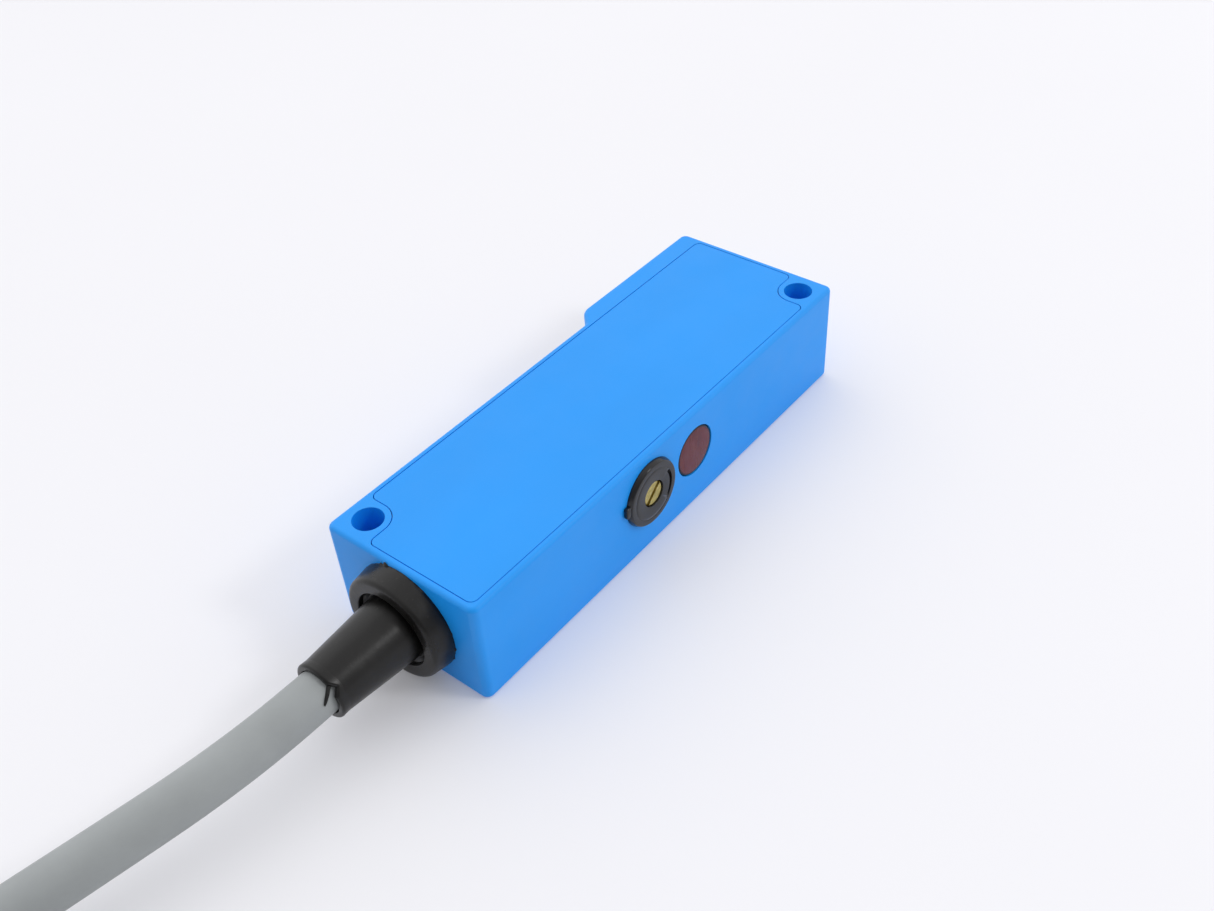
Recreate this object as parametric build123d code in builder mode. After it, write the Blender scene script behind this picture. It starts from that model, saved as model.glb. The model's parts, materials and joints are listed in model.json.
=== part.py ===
"""Slim photoelectric proximity sensor with a fixed cable, as an assembly of its separate pieces.

Units are millimetres. The origin is midway between the two mounting holes, on the bottom face. +X runs
along the housing from the cable end to the sensing head, +Y points the way the sensor looks, and +Z goes
up through the cover.
"""
import os
from math import pi, radians, tan

from build123d import *

os.makedirs("parts", exist_ok=True)

# Housing
LENGTH = 66.0
WIDTH = 20.8
THICKNESS = 13.5
HEAD_RISE = 2.0
HEAD_START = 9.7
HEAD_CORNER_R = 2.0
HEAD_ROOT_R = 0.8
CORNER_R = 0.9
EDGE_R = 0.5
FLOOR = 1.5

# Mounting holes, clearance for M3
HOLE_X = 29.8
HOLE_Y = 7.3
HOLE_R = 1.75

# Cover and the pocket that it sits in
COVER_INSET = 0.85
COVER_THICK = 1.2
BOND_THICK = 0.15
SEAM = 0.09
LEDGE = 0.7
NOTCH = 2.52
COVER_CORNER_R = 0.8
MIN_CORNER_R = 0.2
COVER_EDGE_R = 0.06

# Sensing window and optics behind it
WINDOW_X = 22.4
WINDOW_W = 17.0
WINDOW_H = 9.4
WINDOW_R = 1.5
WINDOW_THICK = 1.2
GASKET_THICK = 0.3
OPENING_W = 15.0
OPENING_H = 7.6
LENS_R = 3.25
LENS_EDGE = 1.0
LENS_DOME = 0.9
BARREL_R = 2.8
BARREL_PITCH = 7.2
HOLDER_BACK_Y = 3.2
OPTICS_BOARD_THICK = 0.8

# Indicator window, and the sensitivity adjuster
INDICATOR_X = 3.3
INDICATOR_Z = 7.85
INDICATOR_R = 3.2
ADJUSTER_X = -5.3
ADJUSTER_Z = 8.05
BEZEL_R = 4.2
BEZEL_PROUD = 0.65
BEZEL_BARREL_R = 3.3
SHAFT_R = 1.57
RUNNING_GAP = 0.06
SHAFT_SINK = 0.17
SLOT_W = 0.55
SLOT_DEPTH = 0.4
SLOT_ANGLE = 42.0
FIT_GAP = 0.05

# Boards
RESIN_THICK = 0.8
BOARD_THICK = 1.2
BOARD_L = 52.0
BOARD_W = 17.0
BOARD_NECK_X = 14.4
BOARD_NECK_Y = 3.15
PEG_X = 22.5
PEG_Y = 5.6
PEG_R = 0.95

# Cable boot
GLAND_Y = -0.35
GLAND_Z = 6.7
FLANGE_R = 6.5
FLANGE_THICK = 2.6
NECK_R = 3.9
NECK_TIP_R = 3.2
BOOT_REACH = 12.2
GROOVE_R = 4.0
BEAD_R = 4.35
BEAD_THICK = 1.0

# Cable
CABLE_D = 5.0
CORE_D = 1.2
STRAND_D = 0.7
TIE_THICK = 0.8
TIE_W = 3.6
HANK_STRAIGHT = 66.0
HANK_NEAR_X = -84.0
HANK_INNER_R = 15.0
HANK_COLUMNS = 2
HANK_LAYERS = 4

# Places that follow from the sizes above
HALF_L = LENGTH / 2
HALF_W = WIDTH / 2
HEAD_Y = HALF_W + HEAD_RISE
POCKET_Z = THICKNESS - COVER_THICK - BOND_THICK
SIDE_WALL = COVER_INSET + LEDGE
MID_Z = THICKNESS / 2
BOARD_Z = FLOOR + RESIN_THICK
BOARD_TOP = BOARD_Z + BOARD_THICK
CABLE_R = CABLE_D / 2
EMITTER_X = WINDOW_X - BARREL_PITCH / 2
RECEIVER_X = WINDOW_X + BARREL_PITCH / 2
WINDOW_BACK_Y = HEAD_Y - WINDOW_THICK
GASKET_BACK_Y = WINDOW_BACK_Y - GASKET_THICK
HOLE_PLACES = [(-HOLE_X, HOLE_Y), (HOLE_X, -HOLE_Y)]
PEG_PLACES = [(-PEG_X, PEG_Y), (PEG_X, -PEG_Y)]
INNER_WALL_Y = -HALF_W + SIDE_WALL
BEZEL_FACE_Y = -HALF_W - BEZEL_PROUD
SHAFT_FACE_Y = BEZEL_FACE_Y + SHAFT_SINK

# The hank lies in line with the housing, and its first leg carries on from the free cable
HANK_OUTER_R = HANK_INNER_R + (HANK_COLUMNS - 1) * CABLE_D
HANK_EDGE_R = HANK_OUTER_R + CABLE_R
HANK_X = HANK_NEAR_X - HANK_EDGE_R - HANK_STRAIGHT / 2
HANK_LEG_Y = 9.5
HANK_Y = HANK_LEG_Y - HANK_OUTER_R
HANK_BOTTOM = TIE_THICK
HANK_TOP = HANK_BOTTOM + HANK_LAYERS * CABLE_D
FIRST_TURN_Z = HANK_BOTTOM + CABLE_R

# The free cable, from its end inside the housing to the hank
CABLE_ROUTE = [
    (-27.0, GLAND_Y, GLAND_Z),
    (-41.0, GLAND_Y, GLAND_Z),
    (-55.5, -0.1, 6.6),
    (-70.5, 3.2, 5.8),
    (-86.0, 7.1, 4.6),
    (-99.5, 9.2, 3.7),
    (-110.5, HANK_LEG_Y, FIRST_TURN_Z),
]

# The last stretch of cable, out of the hank's innermost turn into its open middle
TAIL_ROUTE = [
    (HANK_X - 30, HANK_Y - HANK_INNER_R, FIRST_TURN_Z),
    (HANK_X - 15.5, HANK_Y - 14.1, 3.0),
    (HANK_X - 1.5, HANK_Y - 9.6, CABLE_R),
    (HANK_X + 10, HANK_Y - 5.0, CABLE_R + 0.01),
]


def save(builder, name):
    """Label a finished sub-part and write its STEP file."""
    builder.part.label = name
    export_step(builder.part, f"parts/{name}.step")


def side_plane(y, x=0.0, z=0.0):
    """A plane across the sensor, with its normal towards -Y and its own x axis along +X."""
    return Plane(origin=(x, y, z), x_dir=(1, 0, 0), z_dir=(0, -1, 0))


def front_plane(y, x=0.0, z=0.0):
    """A plane across the sensor, with its normal towards +Y and its own x axis along -X."""
    return Plane(origin=(x, y, z), x_dir=(-1, 0, 0), z_dir=(0, 1, 0))


def arc_radii(route):
    """For each corner of a cable's route, the largest arc that its two runs allow."""
    radii = []
    for before, here, after in zip(route, route[1:], route[2:]):
        run_in = Vector(here) - Vector(before)
        run_out = Vector(after) - Vector(here)
        half_turn = radians(run_in.get_angle(run_out)) / 2
        radii.append(0.45 * min(run_in.length, run_out.length) / tan(half_turn))
    return radii


def round_wire(route, radii, diameter):
    """A round wire along straight runs joined by tangent arcs, and the length of its centreline."""
    with BuildPart() as wire:
        with BuildLine() as path:
            FilletPolyline(*route, radius=radii)
        middle = path.wires()[0]
        with BuildSketch(Plane(origin=middle @ 0, z_dir=middle % 0)):
            Circle(diameter / 2)
        sweep(path=middle)
    return wire, middle.length


def cover_outline(z, grow):
    """Sketch the cover's outline at a height, notched round both mounting holes and grown by a margin."""
    half_x = HALF_L - COVER_INSET + grow
    half_y = HALF_W - COVER_INSET + grow
    notch_x = half_x - HOLE_X + NOTCH - grow
    notch_y = half_y - HOLE_Y + NOTCH - grow
    with BuildSketch(Plane.XY.offset(z)) as outline:
        Rectangle(2 * half_x, 2 * half_y)
        with Locations((-half_x, half_y), (half_x, -half_y)):
            Rectangle(2 * notch_x, 2 * notch_y, mode=Mode.SUBTRACT)
        corners = outline.vertices().sort_by(lambda v: abs(v.X) + abs(v.Y))
        fillet(corners[2:], max(COVER_CORNER_R + grow, MIN_CORNER_R))
        corners = outline.vertices().sort_by(lambda v: abs(v.X) + abs(v.Y))
        fillet(corners[:2], NOTCH - grow)
    return outline.sketch


# ---- Housing and cover ---------------------------------------------------------------------------

with BuildPart() as housing:
    with BuildSketch() as footprint:
        with BuildLine():
            Polyline(
                (-HALF_L, -HALF_W),
                (HALF_L, -HALF_W),
                (HALF_L, HEAD_Y),
                (HEAD_START + HEAD_RISE, HEAD_Y),
                (HEAD_START, HALF_W),
                (-HALF_L, HALF_W),
                close=True,
            )
        make_face()
        ends = footprint.vertices().sort_by(Axis.X)
        fillet(ends[:2] + ends[4:], CORNER_R)
        middle = footprint.vertices().sort_by(lambda v: abs(v.X - HEAD_START) + abs(v.Y - HALF_W))
        fillet(middle[0], HEAD_ROOT_R)
        middle = footprint.vertices().sort_by(lambda v: abs(v.X - HEAD_START - HEAD_RISE) + abs(v.Y - HEAD_Y))
        fillet(middle[0], HEAD_CORNER_R)
    extrude(amount=THICKNESS)
    fillet(housing.edges().group_by(Axis.Z)[0] + housing.edges().group_by(Axis.Z)[-1], EDGE_R)
    extrude(cover_outline(POCKET_Z, SEAM), amount=THICKNESS, mode=Mode.SUBTRACT)
    extrude(cover_outline(FLOOR, -LEDGE), amount=THICKNESS, mode=Mode.SUBTRACT)
    # locating pegs for the main board
    with BuildSketch(Plane.XY.offset(FLOOR)):
        with Locations(*PEG_PLACES):
            Circle(PEG_R)
    extrude(amount=BOARD_TOP + PEG_R / 2 - FLOOR)
    # mounting holes
    with Locations(*[(x, y, THICKNESS) for x, y in HOLE_PLACES]):
        Hole(HOLE_R)
    # sensing window: a shallow seat, and the opening through the head
    with BuildSketch(front_plane(HEAD_Y, WINDOW_X, MID_Z)):
        RectangleRounded(WINDOW_W, WINDOW_H, WINDOW_R)
    extrude(amount=-WINDOW_THICK - GASKET_THICK, mode=Mode.SUBTRACT)
    with BuildSketch(front_plane(HEAD_Y, WINDOW_X, MID_Z)):
        RectangleRounded(OPENING_W, OPENING_H, WINDOW_R / 2)
    extrude(amount=-HEAD_RISE - 2 * SIDE_WALL, mode=Mode.SUBTRACT)
    # round openings for the adjuster and the indicator, and the cable's opening in the end wall
    with BuildSketch(side_plane(-HALF_W, ADJUSTER_X, ADJUSTER_Z)):
        Circle(BEZEL_BARREL_R + FIT_GAP)
    extrude(amount=-2 * SIDE_WALL, mode=Mode.SUBTRACT)
    with BuildSketch(side_plane(-HALF_W, INDICATOR_X, INDICATOR_Z)):
        Circle(INDICATOR_R + FIT_GAP)
    extrude(amount=-2 * SIDE_WALL, mode=Mode.SUBTRACT)
    with BuildSketch(Plane(origin=(-HALF_L, GLAND_Y, GLAND_Z), z_dir=(1, 0, 0))):
        Circle(GROOVE_R + FIT_GAP)
    extrude(amount=2 * SIDE_WALL, mode=Mode.SUBTRACT)
save(housing, "housing")

with BuildPart() as cover:
    extrude(cover_outline(THICKNESS - COVER_THICK, 0), amount=COVER_THICK)
    fillet(cover.edges().group_by(Axis.Z)[-1], COVER_EDGE_R)
save(cover, "cover")

with BuildPart() as cover_bond:
    extrude(cover_outline(POCKET_Z, -FIT_GAP), amount=BOND_THICK)
    extrude(cover_outline(POCKET_Z, FIT_GAP - LEDGE), amount=BOND_THICK, mode=Mode.SUBTRACT)
save(cover_bond, "cover_bond")

# ---- Sensing head --------------------------------------------------------------------------------

with BuildPart() as sensing_window:
    with BuildSketch(front_plane(WINDOW_BACK_Y, WINDOW_X, MID_Z)):
        RectangleRounded(WINDOW_W - 2 * FIT_GAP, WINDOW_H - 2 * FIT_GAP, WINDOW_R)
    extrude(amount=WINDOW_THICK)
save(sensing_window, "sensing_window")

with BuildPart() as window_gasket:
    with BuildSketch(front_plane(GASKET_BACK_Y, WINDOW_X, MID_Z)):
        RectangleRounded(WINDOW_W - 2 * FIT_GAP, WINDOW_H - 2 * FIT_GAP, WINDOW_R)
        RectangleRounded(OPENING_W, OPENING_H, WINDOW_R / 2, mode=Mode.SUBTRACT)
    extrude(amount=GASKET_THICK)
save(window_gasket, "window_gasket")

HOLDER_W = OPENING_W - 4 * FIT_GAP
HOLDER_H = OPENING_H - 4 * FIT_GAP
HOLDER_FRONT_Y = GASKET_BACK_Y - FIT_GAP
BARREL_PLACES = [(BARREL_PITCH / 2, 0), (-BARREL_PITCH / 2, 0)]

with BuildPart() as optics_holder:
    with BuildSketch(front_plane(HOLDER_BACK_Y, WINDOW_X, MID_Z)):
        RectangleRounded(HOLDER_W, HOLDER_H, WINDOW_R / 2)
    extrude(amount=HOLDER_FRONT_Y - HOLDER_BACK_Y)
    with BuildSketch(front_plane(HOLDER_BACK_Y, WINDOW_X, MID_Z)):
        with Locations(*BARREL_PLACES):
            Circle(BARREL_R)
    extrude(amount=HEAD_Y, mode=Mode.SUBTRACT)
    with BuildSketch(front_plane(HOLDER_FRONT_Y, WINDOW_X, MID_Z)):
        with Locations(*BARREL_PLACES):
            Circle(LENS_R + FIT_GAP)
    extrude(amount=-LENS_EDGE - LENS_DOME, mode=Mode.SUBTRACT)
save(optics_holder, "optics_holder")


def lens(name, x):
    """A plano-convex lens in the holder's seat, with its dome towards the window."""
    sphere_r = (LENS_R**2 + LENS_DOME**2) / (2 * LENS_DOME)
    with BuildPart() as glass:
        with BuildSketch(front_plane(HOLDER_FRONT_Y - LENS_EDGE - LENS_DOME, x, MID_Z)):
            Circle(LENS_R)
        extrude(amount=LENS_EDGE + LENS_DOME)
        with Locations((x, HOLDER_FRONT_Y - sphere_r, MID_Z)):
            Sphere(sphere_r, mode=Mode.INTERSECT)
    save(glass, name)


lens("emitter_lens", EMITTER_X)
lens("receiver_lens", RECEIVER_X)

LED_R = 1.5
LED_RIM_R = 1.9
LED_RIM = 0.6
LED_BODY = 2.2
LED_DOME_R = 1.35
LED_Y = HOLDER_BACK_Y + FIT_GAP

with BuildPart() as emitter_led:
    with BuildSketch(front_plane(LED_Y, EMITTER_X, MID_Z)):
        Circle(LED_RIM_R)
    extrude(amount=LED_RIM)
    with BuildSketch(front_plane(LED_Y + LED_RIM, EMITTER_X, MID_Z)):
        Circle(LED_R)
    extrude(amount=LED_BODY)
    fillet(emitter_led.edges().sort_by(Axis.Y)[-1], LED_DOME_R)
save(emitter_led, "emitter_led")

DIODE_SIZE = 3.6
DIODE_THICK = 1.3
DIODE_WINDOW = 2.4

with BuildPart() as receiver_photodiode:
    with BuildSketch(front_plane(LED_Y, RECEIVER_X, MID_Z)):
        Rectangle(DIODE_SIZE, DIODE_SIZE)
    extrude(amount=DIODE_THICK)
    with BuildSketch(front_plane(LED_Y + DIODE_THICK, RECEIVER_X, MID_Z)):
        Rectangle(DIODE_WINDOW, DIODE_WINDOW)
    extrude(amount=-DIODE_THICK / 4, mode=Mode.SUBTRACT)
save(receiver_photodiode, "receiver_photodiode")

OPTICS_BOARD_FRONT_Y = HOLDER_BACK_Y
OPTICS_BOARD_BACK_Y = OPTICS_BOARD_FRONT_Y - OPTICS_BOARD_THICK
OPTICS_BOARD_BOTTOM = BOARD_TOP + FIT_GAP
OPTICS_BOARD_TOP = 11.2

with BuildPart() as optics_board:
    height = OPTICS_BOARD_TOP - OPTICS_BOARD_BOTTOM
    with BuildSketch(front_plane(OPTICS_BOARD_BACK_Y, WINDOW_X, OPTICS_BOARD_BOTTOM + height / 2)):
        Rectangle(HOLDER_W, height)
    extrude(amount=OPTICS_BOARD_THICK)
save(optics_board, "optics_board")

SHIELD_W = 6.4
SHIELD_H = 6.0
SHIELD_DEPTH = 1.8
SHIELD_WALL = 0.25
SHIELD_CORNER_R = 0.5
SHIELD_RISE = 0.5

with BuildPart() as shield_can:
    with BuildSketch(side_plane(OPTICS_BOARD_BACK_Y, RECEIVER_X, MID_Z + SHIELD_RISE)):
        RectangleRounded(SHIELD_W, SHIELD_H, SHIELD_CORNER_R)
    extrude(amount=SHIELD_DEPTH)
    offset(amount=-SHIELD_WALL, openings=shield_can.faces().sort_by(Axis.Y)[-1])
save(shield_can, "shield_can")

# ---- Main board and what is on it ----------------------------------------------------------------

with BuildPart() as resin_bed:
    extrude(cover_outline(FLOOR, -LEDGE), amount=RESIN_THICK)
    with BuildSketch(Plane.XY.offset(FLOOR)):
        with Locations(*PEG_PLACES):
            Circle(PEG_R)
    extrude(amount=RESIN_THICK, mode=Mode.SUBTRACT)
save(resin_bed, "resin_bed")

BOARD_CORNER_R = 0.8

with BuildPart() as main_board:
    with BuildSketch(Plane.XY.offset(BOARD_Z)):
        RectangleRounded(BOARD_L, BOARD_W, BOARD_CORNER_R)
        with Locations((BOARD_L / 2, BOARD_W / 2)):
            Rectangle(2 * (BOARD_L / 2 - BOARD_NECK_X), 2 * (BOARD_W / 2 - BOARD_NECK_Y), mode=Mode.SUBTRACT)
        with Locations(*PEG_PLACES):
            Circle(PEG_R + FIT_GAP, mode=Mode.SUBTRACT)
    extrude(amount=BOARD_THICK)
save(main_board, "main_board")


CHIP_STANDOFF = 0.15
CHIP_BEVEL = 0.2
PIN_W = 0.4
PIN_LENGTH = 1.2
PIN_ROWS = 2
CONTROLLER_PLACE = (7.0, 3.4)
CONTROLLER_SIZE = (8.6, 4.0, 1.6)
CONTROLLER_PINS = 7
TRANSISTOR_PLACE = (-14.5, 4.2)
TRANSISTOR_SIZE = (5.0, 3.6, 1.5)
TRANSISTOR_PINS = 3


def chip(name, place, size, pins):
    """A flat-bodied chip with gull-wing pins along both long sides."""
    length, width, height = size
    with BuildPart() as package:
        with BuildSketch(Plane.XY.offset(BOARD_TOP + CHIP_STANDOFF)):
            with Locations(place):
                Rectangle(length, width)
        extrude(amount=height - CHIP_STANDOFF)
        chamfer(package.faces().sort_by(Axis.Z)[-1].edges(), CHIP_BEVEL)
        with BuildSketch(Plane.XY.offset(BOARD_TOP)):
            with Locations(place):
                with GridLocations(length / pins, width + PIN_LENGTH, pins, PIN_ROWS):
                    Rectangle(PIN_W, PIN_LENGTH + PIN_W)
        extrude(amount=PIN_W)
    save(package, name)


chip("controller_chip", CONTROLLER_PLACE, CONTROLLER_SIZE, CONTROLLER_PINS)
chip("output_transistor", TRANSISTOR_PLACE, TRANSISTOR_SIZE, TRANSISTOR_PINS)

CAPACITOR_PLACE = (-14.6, -4.4)
CAPACITOR_R = 2.4
CAPACITOR_H = 5.6
CAPACITOR_EDGE_R = 0.4

with BuildPart() as filter_capacitor:
    with BuildSketch(Plane.XY.offset(BOARD_TOP)):
        with Locations(CAPACITOR_PLACE):
            Circle(CAPACITOR_R)
    extrude(amount=CAPACITOR_H)
    fillet(filter_capacitor.edges().sort_by(Axis.Z)[-1], CAPACITOR_EDGE_R)
save(filter_capacitor, "filter_capacitor")

# Small resistors and capacitors, in two groups
COMPONENT_L = 2.0
COMPONENT_W = 1.25
COMPONENT_H = 0.6
COMPONENT_PITCH_X = 2.5
COMPONENT_PITCH_Y = 2.3
POWER_GROUP_PLACE = (-4.5, 5.6)
POWER_GROUP_COUNTS = (4, 2)
SIGNAL_GROUP_PLACE = (16.6, -4.0)
SIGNAL_GROUP_COUNTS = (3, 3)

with BuildPart() as board_components:
    with BuildSketch(Plane.XY.offset(BOARD_TOP)):
        with Locations(POWER_GROUP_PLACE):
            with GridLocations(COMPONENT_PITCH_X, COMPONENT_PITCH_Y, *POWER_GROUP_COUNTS):
                Rectangle(COMPONENT_L, COMPONENT_W)
        with Locations(SIGNAL_GROUP_PLACE):
            with GridLocations(COMPONENT_PITCH_X, COMPONENT_PITCH_Y, *SIGNAL_GROUP_COUNTS):
                Rectangle(COMPONENT_L, COMPONENT_W)
    extrude(amount=COMPONENT_H)
save(board_components, "board_components")

LINK_PIN = 0.5
LINK_PINS = 4
LINK_PITCH = 1.3
LINK_H = 1.4
LINK_X = EMITTER_X + 0.95

with BuildPart() as board_link:
    with BuildSketch(Plane.XY.offset(BOARD_TOP)):
        with Locations((LINK_X, OPTICS_BOARD_BACK_Y - LINK_PIN / 2)):
            with GridLocations(LINK_PITCH, LINK_PITCH, LINK_PINS, 1):
                Rectangle(LINK_PIN, LINK_PIN)
    extrude(amount=LINK_H)
save(board_link, "board_link")

POST_R = 0.55
POST_H = 1.6
POST_PLACES = [(-21.5, -6.0), (-19.9, -2.4), (-19.9, 1.2), (-18.3, 4.0)]

with BuildPart() as solder_posts:
    with BuildSketch(Plane.XY.offset(BOARD_TOP)):
        with Locations(*POST_PLACES):
            Circle(POST_R)
    extrude(amount=POST_H)
save(solder_posts, "solder_posts")

# ---- Indicator -----------------------------------------------------------------------------------

INDICATOR_FLANGE = 0.5

with BuildPart() as indicator_window:
    with BuildSketch(side_plane(INNER_WALL_Y, INDICATOR_X, INDICATOR_Z)):
        Circle(INDICATOR_R)
    extrude(amount=SIDE_WALL)
    with BuildSketch(side_plane(INNER_WALL_Y + INDICATOR_FLANGE, INDICATOR_X, INDICATOR_Z)):
        Circle(INDICATOR_R + INDICATOR_FLANGE)
    extrude(amount=INDICATOR_FLANGE)
save(indicator_window, "indicator_window")

GUIDE_FRONT_Y = INNER_WALL_Y + INDICATOR_FLANGE + FIT_GAP
GUIDE_DEPTH = 3.0
GUIDE_W = 5.0
GUIDE_BOTTOM = BOARD_TOP + 1.3
GUIDE_TOP = 10.4
LAMP_PITCH = 2.4
LAMP_SIZE = 1.6
LAMP_H = 1.1

with BuildPart() as light_guide:
    with BuildSketch(Plane(origin=(INDICATOR_X - GUIDE_W / 2, 0, 0), z_dir=(1, 0, 0), x_dir=(0, 1, 0))):
        with BuildLine():
            Polyline(
                (GUIDE_FRONT_Y, GUIDE_BOTTOM),
                (GUIDE_FRONT_Y + GUIDE_DEPTH, GUIDE_BOTTOM),
                (GUIDE_FRONT_Y + GUIDE_DEPTH, GUIDE_TOP - GUIDE_DEPTH),
                (GUIDE_FRONT_Y, GUIDE_TOP),
                close=True,
            )
        make_face()
    extrude(amount=GUIDE_W)
save(light_guide, "light_guide")

with BuildPart() as indicator_leds:
    with BuildSketch(Plane.XY.offset(BOARD_TOP)):
        with Locations((INDICATOR_X, GUIDE_FRONT_Y + GUIDE_DEPTH / 2)):
            with GridLocations(LAMP_PITCH, LAMP_PITCH, 2, 1):
                Rectangle(LAMP_SIZE, LAMP_SIZE)
    extrude(amount=LAMP_H)
save(indicator_leds, "indicator_leds")

# ---- Sensitivity adjuster ------------------------------------------------------------------------

POT_W = 8.2
POT_DEPTH = 4.6
POT_CORNER_R = 0.4
POT_FRONT_Y = INNER_WALL_Y + 0.4
POT_BOTTOM = BOARD_TOP + FIT_GAP
POT_TOP = POCKET_Z - FIT_GAP
ROTOR_R = 3.0
ROTOR_THICK = 0.8
TRACK_THICK = 0.3
ROTOR_WELL = 2.2
ROTOR_MARGIN = 0.4
TRACK_MARGIN = 0.2
WIPER_GAP = 0.35
BEZEL_BACK_Y = INNER_WALL_Y + 0.2
RIM_W = 0.42
BEZEL_EDGE = 0.16
FLOOR_DROP = 0.12
SEAL_MID_R = 2.02
SEAL_SECTION_R = 0.38
SEAL_Y = -HALF_W + 0.75
SEAL_GROOVE_W = 0.9
SEAL_GROOVE_R = 2.45
SHAFT_CHAMFER = 0.15
TAB_W = 1.0
TAB_H = 1.4
TAB_CORNER_R = 0.3
TAB_INSET = 0.05
TAB_RISE = 0.25

with BuildPart() as potentiometer_body:
    with BuildSketch(side_plane(POT_FRONT_Y, ADJUSTER_X, (POT_BOTTOM + POT_TOP) / 2)):
        RectangleRounded(POT_W, POT_TOP - POT_BOTTOM, POT_CORNER_R)
    extrude(amount=-POT_DEPTH)
    with BuildSketch(side_plane(POT_FRONT_Y, ADJUSTER_X, ADJUSTER_Z)):
        Circle(ROTOR_R + ROTOR_MARGIN)
    extrude(amount=-ROTOR_WELL, mode=Mode.SUBTRACT)
save(potentiometer_body, "potentiometer_body")

with BuildPart() as potentiometer_track:
    with BuildSketch(side_plane(POT_FRONT_Y + ROTOR_WELL, ADJUSTER_X, ADJUSTER_Z)):
        Circle(ROTOR_R - TRACK_MARGIN)
        Circle(SHAFT_R, mode=Mode.SUBTRACT)
    extrude(amount=TRACK_THICK)
save(potentiometer_track, "potentiometer_track")

WIPER_BACK_Y = POT_FRONT_Y + ROTOR_WELL - TRACK_THICK - WIPER_GAP
WIPER_FRONT_Y = WIPER_BACK_Y - ROTOR_THICK

with BuildPart() as potentiometer_wiper:
    with BuildSketch(side_plane(WIPER_BACK_Y, ADJUSTER_X, ADJUSTER_Z)):
        Circle(ROTOR_R)
    extrude(amount=ROTOR_THICK)
save(potentiometer_wiper, "potentiometer_wiper")

with BuildPart() as adjuster_shaft:
    with BuildSketch(side_plane(WIPER_FRONT_Y, ADJUSTER_X, ADJUSTER_Z)):
        Circle(SHAFT_R)
    extrude(amount=WIPER_FRONT_Y - SHAFT_FACE_Y)
    chamfer(adjuster_shaft.edges().sort_by(Axis.Y)[0], SHAFT_CHAMFER)
    with BuildSketch(side_plane(SHAFT_FACE_Y, ADJUSTER_X, ADJUSTER_Z)):
        Rectangle(3 * SHAFT_R, SLOT_W, rotation=SLOT_ANGLE)
    extrude(amount=-SLOT_DEPTH, mode=Mode.SUBTRACT)
save(adjuster_shaft, "adjuster_shaft")

with BuildPart() as adjuster_bezel:
    with BuildSketch(Plane.XY.offset(ADJUSTER_Z)):
        bore_x = ADJUSTER_X + SHAFT_R + RUNNING_GAP
        with BuildLine():
            Polyline(
                (bore_x, BEZEL_FACE_Y + FLOOR_DROP),
                (ADJUSTER_X + BEZEL_R - RIM_W, BEZEL_FACE_Y + FLOOR_DROP),
                (ADJUSTER_X + BEZEL_R - RIM_W, BEZEL_FACE_Y),
                (ADJUSTER_X + BEZEL_R - BEZEL_EDGE, BEZEL_FACE_Y),
                (ADJUSTER_X + BEZEL_R, BEZEL_FACE_Y + BEZEL_EDGE),
                (ADJUSTER_X + BEZEL_R, -HALF_W),
                (ADJUSTER_X + BEZEL_BARREL_R, -HALF_W),
                (ADJUSTER_X + BEZEL_BARREL_R, BEZEL_BACK_Y),
                (bore_x, BEZEL_BACK_Y),
                (bore_x, SEAL_Y + SEAL_GROOVE_W / 2),
                (ADJUSTER_X + SEAL_GROOVE_R, SEAL_Y + SEAL_GROOVE_W / 2),
                (ADJUSTER_X + SEAL_GROOVE_R, SEAL_Y - SEAL_GROOVE_W / 2),
                (bore_x, SEAL_Y - SEAL_GROOVE_W / 2),
                close=True,
            )
        make_face()
    revolve(axis=Axis((ADJUSTER_X, 0, ADJUSTER_Z), (0, 1, 0)))
    # the tab that stops the bezel from turning
    with BuildSketch(side_plane(-HALF_W, ADJUSTER_X - BEZEL_R + TAB_INSET, ADJUSTER_Z + TAB_RISE)):
        RectangleRounded(TAB_W, TAB_H, TAB_CORNER_R)
    extrude(amount=BEZEL_PROUD)
save(adjuster_bezel, "adjuster_bezel")

with BuildPart() as adjuster_seal:
    with BuildSketch(Plane.XY.offset(ADJUSTER_Z)):
        with Locations((ADJUSTER_X + SEAL_MID_R, SEAL_Y)):
            Circle(SEAL_SECTION_R)
    revolve(axis=Axis((ADJUSTER_X, 0, ADJUSTER_Z), (0, 1, 0)))
save(adjuster_seal, "adjuster_seal")

# ---- Cable boot ----------------------------------------------------------------------------------

BORE_R = CABLE_R + 0.02
FLANGE_FRONT_X = -HALF_L - FLANGE_THICK
DISH_DEPTH = 0.5
DISH_R = 5.0
TIP_X = -HALF_L - BOOT_REACH
TIP_ROUND = 0.5
INNER_X = -HALF_L + SIDE_WALL

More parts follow.
